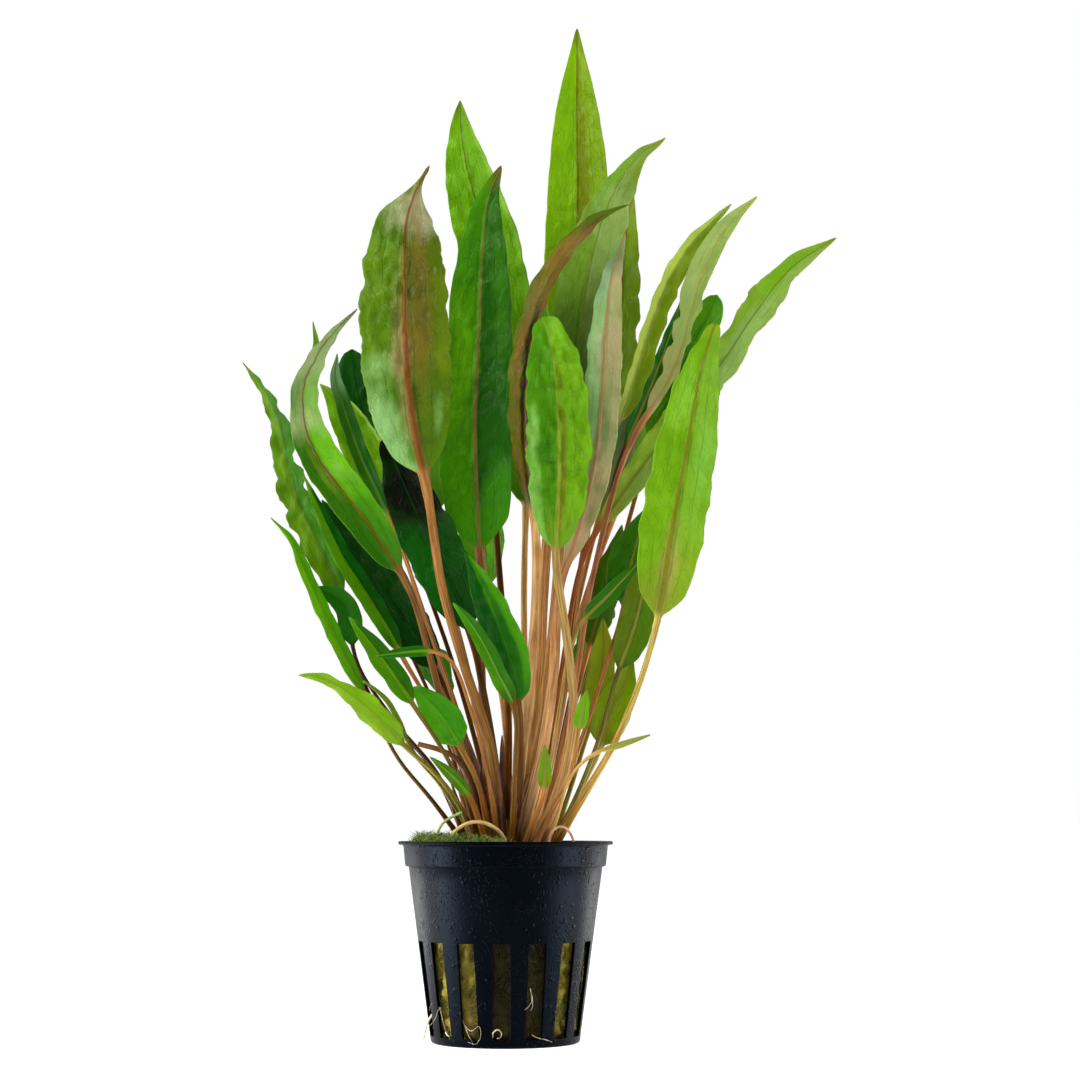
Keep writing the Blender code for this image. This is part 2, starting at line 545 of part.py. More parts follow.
def object_from(name, mesh_maker, collection, tone):
    """A mesh object from a bmesh, its faces turned out and its round sides smooth."""
    mesh = bpy.data.meshes.new(name)
    bmesh.ops.recalc_face_normals(mesh_maker, faces=mesh_maker.faces)
    mesh_maker.to_mesh(mesh)
    mesh_maker.free()
    mesh.shade_smooth()
    mesh.set_sharp_from_angle(angle=math.radians(50))
    return finish(bpy.data.objects.new(name, mesh), tone, collection)


def turned(name, profile, steps, collection, tone):
    """A closed profile from the axis round to the axis again, turned about Z."""
    mesh = bpy.data.meshes.new(name)
    points = [(radius * METRES_PER_MM, 0.0, height * METRES_PER_MM) for radius, height in profile]
    edges = [(k, k + 1) for k in range(len(points) - 1)]
    if profile[0][0] > 0.0:
        edges.append((len(points) - 1, 0))
    mesh.from_pydata(points, edges, [])
    obj = bpy.data.objects.new(name, mesh)
    screw = obj.modifiers.new("turn", "SCREW")
    screw.steps = steps
    screw.render_steps = steps
    screw.use_merge_vertices = True
    screw.merge_threshold = 0.00001
    screw.use_smooth_shade = True
    return finish(obj, tone, collection)


def wall_radius(height):
    """The pot's outer radius below its collar."""
    return BASE_RADIUS + (SHOULDER_RADIUS - BASE_RADIUS) * height / (POT_HEIGHT - COLLAR_HEIGHT)


def make_pot(collection, cutters):
    step = POT_HEIGHT - COLLAR_HEIGHT
    lip = POT_HEIGHT - LIP_THICKNESS
    profile = (
        (0.0, FLOOR),
        (wall_radius(FLOOR) - WALL, FLOOR),
        (SHOULDER_RADIUS - WALL, step - WALL),
        (COLLAR_RADIUS - COLLAR_TAPER - WALL, step + WALL),
        (COLLAR_RADIUS - WALL, POT_HEIGHT),
        (RIM_RADIUS, POT_HEIGHT),
        (RIM_RADIUS, lip),
        (COLLAR_RADIUS, lip),
        (COLLAR_RADIUS - COLLAR_TAPER, step),
        (SHOULDER_RADIUS, step),
        (BASE_RADIUS, 0.0),
        (0.0, 0.0),
    )
    pot = turned("pot", profile, TURN_STEPS, collection, "pot")
    shaper = bmesh.new()
    sides = (SLOT_CUT_DEPTH, SLOT_WIDTH, SLOT_HIGH - SLOT_LOW)
    middle = 0.5 * (SLOT_LOW + SLOT_HIGH)
    for k in range(SLOT_COUNT):
        turn = math.radians(SLOT_FIRST_TURN + 360.0 / SLOT_COUNT * k)
        place_box(shaper, turn, wall_radius(middle) - WALL, sides, middle)
    for k in range(DRAIN_COUNT):
        turn = 2.0 * math.pi * k / DRAIN_COUNT
        drain = bmesh.ops.create_cone(
            shaper, cap_ends=True, segments=DRAIN_SIDES, depth=4.0 * FLOOR * METRES_PER_MM,
            radius1=DRAIN_RADIUS * METRES_PER_MM, radius2=DRAIN_RADIUS * METRES_PER_MM,
        )
        shift = np.array((math.cos(turn), math.sin(turn), 0.0)) * DRAIN_CIRCLE * METRES_PER_MM
        bmesh.ops.translate(shaper, verts=drain["verts"], vec=shift)
    cutter = object_from("pot_cutter", shaper, cutters, "pot")
    cutter.hide_render = True
    cutter.display_type = "WIRE"
    cut = pot.modifiers.new("slots", "BOOLEAN")
    cut.operation = "DIFFERENCE"
    cut.object = cutter


def place_box(shaper, turn, radius, sides, height):
    """A box with its length on a radius of the pot, turned from the side that faces the camera."""
    box = bmesh.ops.create_cube(shaper, size=1.0)
    out = np.array((math.sin(turn), -math.cos(turn), 0.0))
    beside = np.array((math.cos(turn), math.sin(turn), 0.0))
    for corner in box["verts"]:
        x, y, z = corner.co
        place = out * (radius + x * sides[0]) + beside * (y * sides[1])
        place[2] = height + z * sides[2]
        corner.co = place * METRES_PER_MM


def make_wool(collection):
    """The wool stands clear of the pot's wall and floor, with a well for the crown in its top."""
    step = POT_HEIGHT - COLLAR_HEIGHT
    inset = WALL + WOOL_CLEARANCE
    top_radius = COLLAR_RADIUS - 3.0
    profile = (
        (0.0, WELL_FLOOR),
        (WELL_RADIUS, WELL_FLOOR),
        (WELL_RADIUS + 0.6, WOOL_TOP - 0.8),
        (WOOL_SHOULDER_RADIUS, WOOL_TOP),
        (top_radius, WOOL_TOP - 0.5),
        (top_radius, step - 0.6),
        (wall_radius(step - 2.0) - inset, step - 2.0),
        (wall_radius(FLOOR + 2.0) - inset, FLOOR + 2.0),
        (wall_radius(FLOOR) - inset - 1.2, FLOOR + TOUCH_GAP),
        (0.0, FLOOR + TOUCH_GAP),
    )
    turned("rock_wool", profile, WOOL_STEPS, collection, "wool")


def make_crown(collection):
    """The crown sits in the wool's well, and its flat top carries the stalks."""
    profile = (
        (0.0, CROWN_TOP),
        (CROWN_RADIUS - 0.5, CROWN_TOP),
        (CROWN_RADIUS, CROWN_TOP - 1.0),
        (CROWN_RADIUS - 0.8, WELL_FLOOR + TOUCH_GAP),
        (0.0, WELL_FLOOR + TOUCH_GAP),
    )
    crown = turned("crown", profile, CROWN_STEPS, collection, "crown")
    crown.location.x = CROWN_X * METRES_PER_MM


def moss_height(i, j):
    """The moss's top: lumpy, thin at its two ends, and thickest at the rim."""
    lump = math.sin(2.9 * i + 0.7) * math.cos(2.1 * j) + 0.5 * math.sin(5.3 * i + 1.9 * j)
    ends = min(i, MOSS_TURNS - i, 3) / 3.0
    outward = 0.55 + 0.45 * j / MOSS_RINGS
    return WOOL_TOP + 0.9 + (MOSS_THICKNESS + MOSS_LUMP * lump) * ends * outward


def make_moss(collection):
    """A mat over the left half of the wool, with a lumpy top that stands a little over the rim."""
    shaper = bmesh.new()
    flat = WOOL_TOP + WOOL_CLEARANCE
    top, under = [], []
    for i in range(MOSS_TURNS + 1):
        angle = math.radians(MOSS_FROM + (MOSS_TO - MOSS_FROM) * i / MOSS_TURNS)
        for grid in (top, under):
            grid.append([])
        for j in range(MOSS_RINGS + 1):
            radius = MOSS_INNER + (MOSS_OUTER - MOSS_INNER) * j / MOSS_RINGS
            for grid, height in ((top, moss_height(i, j)), (under, flat)):
                place = np.array((radius * math.cos(angle), radius * math.sin(angle), height))
                grid[i].append(shaper.verts.new(place * METRES_PER_MM))
    for grid in (top, under):
        for i in range(MOSS_TURNS):
            for j in range(MOSS_RINGS):
                shaper.faces.new((grid[i][j], grid[i + 1][j], grid[i + 1][j + 1], grid[i][j + 1]))
    border = [(i, 0) for i in range(MOSS_TURNS)]
    border += [(MOSS_TURNS, j) for j in range(MOSS_RINGS)]
    border += [(i, MOSS_RINGS) for i in range(MOSS_TURNS, 0, -1)]
    border += [(0, j) for j in range(MOSS_RINGS, 0, -1)]
    for (i, j), (m, n) in zip(border, border[1:] + border[:1]):
        shaper.faces.new((top[i][j], top[m][n], under[m][n], under[i][j]))
    object_from("moss", shaper, collection, "moss")


def make_root(name, tone, radius, points, collection):
    """A round root along a curve through a few points."""
    line = spaced(smooth_line(points, PER_SPAN), ROOT_ROWS)
    curve = bpy.data.curves.new(name, "CURVE")
    curve.dimensions = "3D"
    curve.bevel_depth = radius * METRES_PER_MM
    curve.bevel_resolution = 1
    curve.use_fill_caps = True
    spline = curve.splines.new("POLY")
    spline.points.add(len(line) - 1)
    for knot, place in zip(spline.points, line):
        knot.co = (*(place * METRES_PER_MM), 1.0)
    finish(bpy.data.objects.new(name, curve), tone, collection)


def make_roots(collection):
    """Three roots arch over the moss at the rim, and one hangs out of a slot, out from the wall."""
    for name, radius, points in ROOTS:
        make_root(name, "root_tan", radius, [seen(*point) for point in points], collection)
    turn = math.radians(SLOT_FIRST_TURN - LOW_ROOT_SLOT * 360.0 / SLOT_COUNT)
    out = np.array((math.sin(turn), -math.cos(turn), 0.0))
    up = np.array((0.0, 0.0, 1.0))
    route = [out * radius + up * height for radius, height in LOW_ROOT_ROUTE]
    make_root("root_low_left", "root_pale", LOW_ROOT_RADIUS, route, collection)


def make_leaf(leaf, line, collection):
    shaper = bmesh.new()
    rings = [
        [shaper.verts.new(point * METRES_PER_MM) for point in ring] for ring in leaf_rings(leaf, line)
    ]
    for lower, upper in zip(rings, rings[1:]):
        for k in range(6):
            shaper.faces.new((lower[k], lower[(k + 1) % 6], upper[(k + 1) % 6], upper[k]))
    shaper.faces.new(rings[0])
    shaper.faces.new(rings[-1])
    object_from(leaf.name, shaper, collection, leaf.tone)


def make_leaves(collection):
    lines = [midrib(leaf, place) for leaf, place in zip(LEAVES, crown_places())]
    for leaf, line in zip(LEAVES, part_leaves(lines)):
        make_leaf(leaf, line, collection)


def main():
    for old in list(bpy.data.objects):
        bpy.data.objects.remove(old, do_unlink=True)
    plant = bpy.data.collections.new("potted_cryptocoryne")
    cutters = bpy.data.collections.new("cutters")
    for collection in (plant, cutters):
        bpy.context.scene.collection.children.link(collection)
    make_pot(plant, cutters)
    make_wool(plant)
    make_crown(plant)
    make_moss(plant)
    make_roots(plant)
    make_leaves(plant)


main()
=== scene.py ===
"""A potted cryptocoryne as it looks: veined leaves with ribs and wavy margins, a slotted black
net pot, rock wool, moss and roots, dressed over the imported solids.

Everything is in metres in the solids' frame. Small lengths are written in millimetres, times MM.
A skin is a mesh's points and a list of groups of faces, each group's faces with equally many
corners.
"""
import math
from collections import namedtuple

import bpy
import numpy as np
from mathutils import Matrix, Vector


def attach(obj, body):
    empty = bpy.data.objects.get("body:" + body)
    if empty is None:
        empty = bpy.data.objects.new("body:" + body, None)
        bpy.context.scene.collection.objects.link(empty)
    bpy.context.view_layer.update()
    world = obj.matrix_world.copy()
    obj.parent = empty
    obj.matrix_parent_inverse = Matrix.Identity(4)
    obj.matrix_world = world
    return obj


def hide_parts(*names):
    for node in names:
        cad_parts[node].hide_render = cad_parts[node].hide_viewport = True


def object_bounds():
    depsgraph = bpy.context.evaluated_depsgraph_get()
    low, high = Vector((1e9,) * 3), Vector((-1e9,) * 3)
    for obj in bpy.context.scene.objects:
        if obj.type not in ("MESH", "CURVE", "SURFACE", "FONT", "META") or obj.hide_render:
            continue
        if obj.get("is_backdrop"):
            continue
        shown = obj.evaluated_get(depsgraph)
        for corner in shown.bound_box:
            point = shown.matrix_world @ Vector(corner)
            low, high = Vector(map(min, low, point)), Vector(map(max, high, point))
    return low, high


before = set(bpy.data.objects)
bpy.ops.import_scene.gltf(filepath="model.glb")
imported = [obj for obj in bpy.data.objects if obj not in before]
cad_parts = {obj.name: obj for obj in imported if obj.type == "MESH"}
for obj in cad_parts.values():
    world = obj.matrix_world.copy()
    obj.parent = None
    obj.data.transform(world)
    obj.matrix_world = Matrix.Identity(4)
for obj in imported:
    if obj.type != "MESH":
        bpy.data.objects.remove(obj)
cad_low, cad_high = (np.array(corner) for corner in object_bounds())

MM = 0.001
CIRCLE = 2.0 * math.pi
CHANCE = np.random.default_rng(31)
ODD_WAY = np.array((0.31, 0.52, 0.79))  # a direction that no strand runs in

# The camera's focal length is what the photograph's perspective and the pot's size give.
FOCAL_PIXELS, PHOTO_PIXELS = 2321.0, 1080.0
SENSOR_MM = 36.0
CAMERA_PLACE = (0.0088, -0.6, 0.055)
CAMERA_TILT = math.radians(96.97)

# The pot's real sizes, in millimetres, as its solid has them
RIM_RADIUS = 27.5
POT_HEIGHT = 50.6
LIP = 0.9
COLLAR_RADIUS = 26.2
COLLAR_LOW = 44.2
SHOULDER_RADIUS = 24.8
BASE_RADIUS = 18.9
WALL = 0.9
FLOOR_THICKNESS = 1.2
SLOTS = 15
SLOT_HALF_WIDTH = 2.25
SLOT_LOW, SLOT_HIGH = 2.0, 25.6
SLOT_ROWS = 9  # rows of points along a slot
FIRST_SLOT = math.radians(-91.9)
DRAINS = 5
DRAIN_RADIUS, DRAIN_CIRCLE = 2.2, 10.5
FLOOR_RINGS = (2.0, 7.0, 9.0, DRAIN_CIRCLE, 12.0, 14.0)

# What fills it
WOOL_TOP = 48.2
WELL_RADIUS, WELL_FLOOR = 14.2, 43.5
CROWN_X, CROWN_RADIUS, CROWN_TOP = 1.5, 12.3, 47.6
MOSS_INNER, MOSS_OUTER = 15.4, 24.2
MOSS_FROM, MOSS_TO = math.radians(82), math.radians(274)

# The largest dead sheaths between the stalks: place across and in depth, half width, height
OLD_SHEATHS = (
    (-4.6, -4.6, 1.7, 30.0), (-2.2, -1.5, 1.3, 36.0), (-0.4, -1.2, 1.1, 31.0), (-6.2, -1.0, 1.1, 25.0),
)


# Camera and lamps

def add_camera():
    camera = bpy.data.objects.new("camera", bpy.data.cameras.new("camera"))
    bpy.context.scene.collection.objects.link(camera)
    camera.location = CAMERA_PLACE
    camera.rotation_euler = (CAMERA_TILT, 0.0, 0.0)
    camera.data.sensor_width = SENSOR_MM
    camera.data.lens = FOCAL_PIXELS / PHOTO_PIXELS * SENSOR_MM
    camera.data.clip_start = 0.01
    bpy.context.scene.camera = camera


def add_lamp(name, place, target, size, power, spread=180.0):
    """A rectangular lamp, in watts, that looks at a target."""
    lamp = bpy.data.lights.new(name, "AREA")
    lamp.shape = "RECTANGLE"
    lamp.size, lamp.size_y = size
    lamp.energy = power
    lamp.spread = math.radians(spread)
    obj = bpy.data.objects.new(name, lamp)
    obj.visible_camera = False
    bpy.context.scene.collection.objects.link(obj)
    x, y, z = np.array(place) - np.array(target)
    obj.location = place
    obj.rotation_euler = (math.atan2(math.hypot(x, y), z), 0.0, math.atan2(x, -y))


# Shader maths

class Value:
    """A socket that adds Math nodes when it is used in an expression."""

    def __init__(self, paint, socket):
        self.paint, self.socket = paint, socket

    def math(self, operation, *others):
        values = dict(enumerate((self, *others)))
        return self.paint.node("ShaderNodeMath", {"operation": operation}, values)

    def __add__(self, other):
        return self.math("ADD", other)

    def __mul__(self, other):
        return self.math("MULTIPLY", other)

    def __sub__(self, other):
        return self.math("SUBTRACT", other)

    def __truediv__(self, other):
        return self.math("DIVIDE", other)

    def __pow__(self, other):
        return self.math("POWER", other)

    def __rsub__(self, other):
        return (self * -1.0) + other

    def __abs__(self):
        return self.math("ABSOLUTE")

    __radd__ = __add__
    __rmul__ = __mul__


class Paint:
    """A material's nodes, or the world's. node() adds any node, and the rest are short names for
    the common ones."""

    def __init__(self, name, owners=None):
        self.owner = (bpy.data.materials if owners is None else owners).new(name)
        self.owner.use_nodes = True
        self.tree = self.owner.node_tree
        self.tree.nodes.clear()

    def node(self, kind, settings=None, inputs=None, output=0):
        made = self.tree.nodes.new(kind)
        for key, value in (settings or {}).items():
            setattr(made, key, value)
        for key, value in (inputs or {}).items():
            if isinstance(value, Value):
                self.tree.links.new(value.socket, made.inputs[key])
            else:
                made.inputs[key].default_value = value
        return Value(self, made.outputs[output]) if made.outputs else None

    def parts(self, vector):
        split = self.node("ShaderNodeSeparateXYZ", inputs={0: vector}).socket.node
        return [Value(self, socket) for socket in split.outputs]

    def vector(self, x, y, z):
        return self.node("ShaderNodeCombineXYZ", inputs={0: x, 1: y, 2: z})

    def own(self, name, output="Fac"):
        """The piece's own attribute."""
        return self.node("ShaderNodeAttribute", {"attribute_name": name}, output=output)

    def place(self, output="Object"):
        return self.node("ShaderNodeTexCoord", output=output)

    def noise(self, vector, scale, detail=2.0, roughness=0.5):
        inputs = {"Vector": vector, "Scale": scale, "Detail": detail, "Roughness": roughness}
        return self.node("ShaderNodeTexNoise", inputs=inputs)

    def step(self, value, low, high, start=0.0, end=1.0):
        """Goes smoothly from start to end as the value goes from low to high."""
        inputs = {"Value": value, "From Min": low, "From Max": high, "To Min": start, "To Max": end}
        return self.node("ShaderNodeMapRange", {"interpolation_type": "SMOOTHSTEP"}, inputs)

    def specks(self, vector, scale, full, none, feature="F1"):
        """1 near the middles of cells, or near their edges, and 0 away from them."""
        inputs = {"Vector": vector, "Scale": scale}
        away = self.node("ShaderNodeTexVoronoi", {"feature": feature}, inputs)
        return self.step(away, full, none, 1.0, 0.0)

    def mix(self, factor, first, second, blend="MIX"):
        settings = {"data_type": "RGBA", "blend_type": blend}
        return self.node("ShaderNodeMix", settings, {0: factor, 6: first, 7: second}, output=2)

    def tint(self, factor, colour, red, green, blue):
        """Multiplies the colour's channels, as far as the factor says."""
        return self.mix(factor, colour, (red, green, blue, 1.0), "MULTIPLY")

    def bump(self, height, strength, distance):
        inputs = {"Height": height, "Strength": strength, "Distance": distance}
        return self.node("ShaderNodeBump", inputs=inputs)

    def finish(self, colour, roughness, normal=None, glow=None, glow_colour=None, **constants):
        inputs = {"Base Color": colour, "Roughness": roughness}
        inputs.update({key.replace("_", " "): value for key, value in constants.items()})
        if normal is not None:
            inputs["Normal"] = normal
        shader = self.node("ShaderNodeBsdfPrincipled", inputs=inputs)
        if glow is not None:
            through = self.node("ShaderNodeBsdfTranslucent", inputs={"Color": glow_colour})
            shader = self.node("ShaderNodeMixShader", inputs={0: glow, 1: shader, 2: through})
        self.node("ShaderNodeOutputMaterial", inputs={"Surface": shader})
        return self.owner


def tone(red, green, blue):
    """A colour as a screen shows it, made linear."""
    values = np.array((red, green, blue), float)
    linear = np.where(values <= 0.04045, values / 12.92, ((values + 0.055) / 1.055) ** 2.4)
    return (*linear.tolist(), 1.0)


# Meshes

def add_piece(name, skin, material, slot, stands_for=None, **attributes):
    """A mesh from a skin, its points kept in the solids' box, in place of a node where one is
    named. An attribute has a number or three numbers for each point."""
    points, groups = skin
    corners = np.concatenate([group.reshape(-1) for group in groups])
    totals = np.concatenate([np.full(len(group), group.shape[1]) for group in groups])
    starts = np.concatenate([[0], np.cumsum(totals)[:-1]])
    mesh = bpy.data.meshes.new(name)
    mesh.vertices.add(len(points))
    mesh.vertices.foreach_set("co", np.clip(points, cad_low, cad_high).astype(np.float32).reshape(-1))
    mesh.loops.add(len(corners))
    mesh.loops.foreach_set("vertex_index", corners.astype(np.int32))
    mesh.polygons.add(len(totals))
    mesh.polygons.foreach_set("loop_start", starts.astype(np.int32))
    mesh.update(calc_edges=True)
    for key, values in attributes.items():
        kind, field = ("FLOAT_VECTOR", "vector") if values.ndim == 2 else ("FLOAT", "value")
        layer = mesh.attributes.new(key, kind, "POINT")
        layer.data.foreach_set(field, values.astype(np.float32).reshape(-1))
    mesh.validate()
    mesh.shade_smooth()
    mesh.materials.append(material)
    obj = bpy.data.objects.new(name, mesh)
    bpy.context.scene.collection.objects.link(obj)
    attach(obj, "root")
    if stands_for:
        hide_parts(stands_for)
    return obj


def joined(*skins):
    """Several skins as one."""
    points, groups, start = [], [], 0
    for more, faces in skins:
        points.append(more)
        groups += [group + start for group in faces]
        start += len(more)
    return np.vstack(points), groups


def tube_faces(rows, around):
    """The quads between rings of points, each ring closed on itself."""
    ring = np.arange(around)
    start = (np.arange(rows - 1) * around)[:, None]
    low = (start + ring).reshape(-1)
    turn = (start + (ring + 1) % around).reshape(-1)
    return np.stack([low, turn, turn + around, low + around], axis=1)


def capped(points):
    """Rings of points (rows, around, 3) as one closed skin of quads and end triangles. Each end
    has a point at its ring's middle. The faces look out where the sum of the corners' triple
    products is positive, and are turned over if it isn't."""
    rows, around = points.shape[:2]
    flat = np.vstack([points.reshape(-1, 3), points[0].mean(axis=0), points[-1].mean(axis=0)])
    quads = tube_faces(rows, around)
    ring = np.arange(around)
    after = (ring + 1) % around
    last = (rows - 1) * around
    first_end = np.stack([after, ring, np.full(around, rows * around)], axis=1)
    second_end = np.stack([ring + last, after + last, np.full(around, rows * around + 1)], axis=1)
    ends = np.vstack([first_end, second_end])
    a, b, c = flat[np.vstack([quads[:, :3], quads[:, [0, 2, 3]], ends]).T]
    if (a * np.cross(b, c)).sum() < 0.0:
        quads, ends = quads[:, ::-1], ends[:, ::-1]
    return flat, [quads, ends]


def strands(paths, radii, sides=3):
    """Many thin tubes as one skin. paths is (count, rows, 3) and radii (count, rows); each ring is
    the path's point plus its radius times the cosine and sine of the angle in the two directions
    square to the path. Each end is closed by one face."""
    count, rows = paths.shape[:2]
    along = unit(np.gradient(paths, axis=1))
    beside = unit(np.cross(along, ODD_WAY))
    across = np.cross(along, beside)
    angle = CIRCLE * np.arange(sides) / sides
    ring = beside[:, :, None] * np.cos(angle)[:, None] + across[:, :, None] * np.sin(angle)[:, None]
    points = paths[:, :, None] + ring * radii[:, :, None, None]
    start = np.arange(count)[:, None, None] * rows * sides
    quads = (tube_faces(rows, sides)[None] + start).reshape(-1, 4)
    ends = np.arange(sides)
    low = (ends[::-1] + start[:, 0]).reshape(count, sides)
    high = (ends + (rows - 1) * sides + start[:, 0]).reshape(count, sides)
    return points.reshape(-1, 3), [quads, low, high]


def ripple(points, size, seed, count=24):
    """Smooth noise from about -1 to 1: the mean of many sine waves, each with its own direction,
    length near size and phase."""
    chance = np.random.default_rng(seed)
    way = chance.normal(size=(count, points.shape[-1]))
    pace = CIRCLE / size * chance.uniform(0.6, 1.5, (count, 1))
    phase = chance.uniform(0.0, CIRCLE, count)
    return np.sin(points @ (unit(way) * pace).T + phase).sum(axis=-1) * math.sqrt(2.0 / count)


def flat_ripple(x, y, size, seed):
    return ripple(np.stack([x, y], axis=-1), size, seed)


def smooth(value, low, high):
    share = np.clip((value - low) / (high - low), 0.0, 1.0)
    return share * share * (3.0 - 2.0 * share)


def unit(vectors):
    return vectors / np.maximum(np.linalg.norm(vectors, axis=-1, keepdims=True), 1e-12)


def through(knots, values, wanted, steady=False):
    """A cubic curve through the values. A steady one has no bumps between them: its slope is the
    harmonic mean of its neighbours', or none where they have different signs."""
    values = values.reshape(len(knots), -1)
    steps = np.diff(knots)[:, None]
    rates = np.diff(values, axis=0) / steps
    before, after = rates[:-1], rates[1:]
    if steady:
        product = before * after
        total = np.where(np.abs(before + after) < 1e-12, 1.0, before + after)
        inner = np.where(product > 0.0, 2.0 * product / total, 0.0)
    else:
        inner = (before * steps[1:] + after * steps[:-1]) / (steps[1:] + steps[:-1])
    slopes = np.vstack([rates[:1], inner, rates[-1:]])
    k = np.clip(np.searchsorted(knots, wanted, side="right") - 1, 0, len(knots) - 2)
    span = steps[k]
    t = (wanted - knots[k])[:, None] / span
    blend = 3 * t**2 - 2 * t**3
    bends = slopes[k] * (t**3 - 2 * t**2 + t) + slopes[k + 1] * (t**3 - t**2)
    return values[k] * (1 - blend) + values[k + 1] * blend + bends * span


# Leaves

def merged(node):
    """A solid's points, each once, and its triangles."""
    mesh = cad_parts[node].data
    places = np.empty(len(mesh.vertices) * 3, np.float32)
    mesh.vertices.foreach_get("co", places)
    corners = np.empty(len(mesh.loops), np.int32)
    mesh.loops.foreach_get("vertex_index", corners)
    places = places.reshape(-1, 3).astype(float)
    keys = np.round(places / (0.002 * MM)).astype(np.int64)
    _, first, index = np.unique(keys, axis=0, return_index=True, return_inverse=True)
    return places[first], index.reshape(-1)[corners].reshape(-1, 3)


def ring_order(faces, mine):
    """The six points of a section in order round it, along the edges it shares with its neighbours."""
    beside = {}
    for face, inside in zip(faces, mine):
        if inside.sum() == 2:
            a, b = face[inside]
            beside.setdefault(a, set()).add(b)
            beside.setdefault(b, set()).add(a)
    ring = [min(beside)]
    while len(ring) < 6:
        ring.append(next(point for point in sorted(beside[ring[-1]]) if point not in ring))
    return ring


def sections_of(node):
    """A leaf solid's six-sided sections from the crown to the tip, (sections, 6, 3), each in the
    order right edge, two points above, left edge, two points below."""
    points, faces = merged(node)
    level = np.where(points[:, 2] < points[:, 2].min() + 0.01 * MM, 0, -1)
    reached = 0
    while (level < 0).any():
        near = np.unique(faces[(level[faces] == reached).any(axis=1)])
        level[near[level[near] < 0]] = reached + 1
        reached += 1
    rings = [points[ring_order(faces, level[faces] == k)] for k in range(reached + 1)]
    for k in range(1, len(rings)):
        ways = [np.roll(rings[k][::turn], shift, axis=0) for turn in (1, -1) for shift in range(6)]
        rings[k] = min(ways, key=lambda way: ((way - rings[k - 1]) ** 2).sum())
    rings = np.array(rings)
    spread = np.linalg.norm(rings[:, :3] - rings[:, 3:], axis=2)
    widest, edge = np.unravel_index(spread.argmax(), spread.shape)
    rings = np.roll(rings, -edge, axis=1)
    wide = rings[widest]
    above = wide[[1, 2]].mean(axis=0) - wide[[4, 5]].mean(axis=0)
    lifted = wide[[0, 3]].mean(axis=0) - wide[[1, 2, 4, 5]].mean(axis=0)
    if above @ lifted < 0.0:
        rings = np.roll(rings, 3, axis=1)
        above = -above
    along = rings[widest + 1].mean(axis=0) - rings[widest - 1].mean(axis=0)
    if (rings[widest, 0] - rings[widest, 3]) @ np.cross(along, above) < 0.0:
        rings = rings[:, [3, 2, 1, 0, 5, 4]]
    return rings


def slot_of(node):
    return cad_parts[node].data.materials[0].name.split(".")[0]


Look = namedtuple(
    "Look",
    "left right base tip rib stalk foot patches rib_mm vein mottle wave glow rough tip_from under base_to "
    "sharp pucker blunt broad calm ragged speck stout",
    defaults=(
        (), 0.45, 0.5, 0.3, 0.9, 0.20, 0.36, 0.90, 0.3, 0.25, 0.0, 0.25, 0.0, ((0.0, 1.0), (1.0, 1.0)), 1.0,
        0.012, 0.12, -0.22,
    ),
)

STRAW = 0xB09E5C
TAN = 0xBE965A
ROSE = 0xA47040
RUST = 0x805228
BROWN = 0x503418
UMBER = 0x322210
OLIVE = 0x767030
LIME = 0x5A821C
UNDERSIDE = 0x94A06C  # the pale green that blades have from below
CROWN_BROWN = 0x785C30  # what a stalk's lowest millimetres fade to

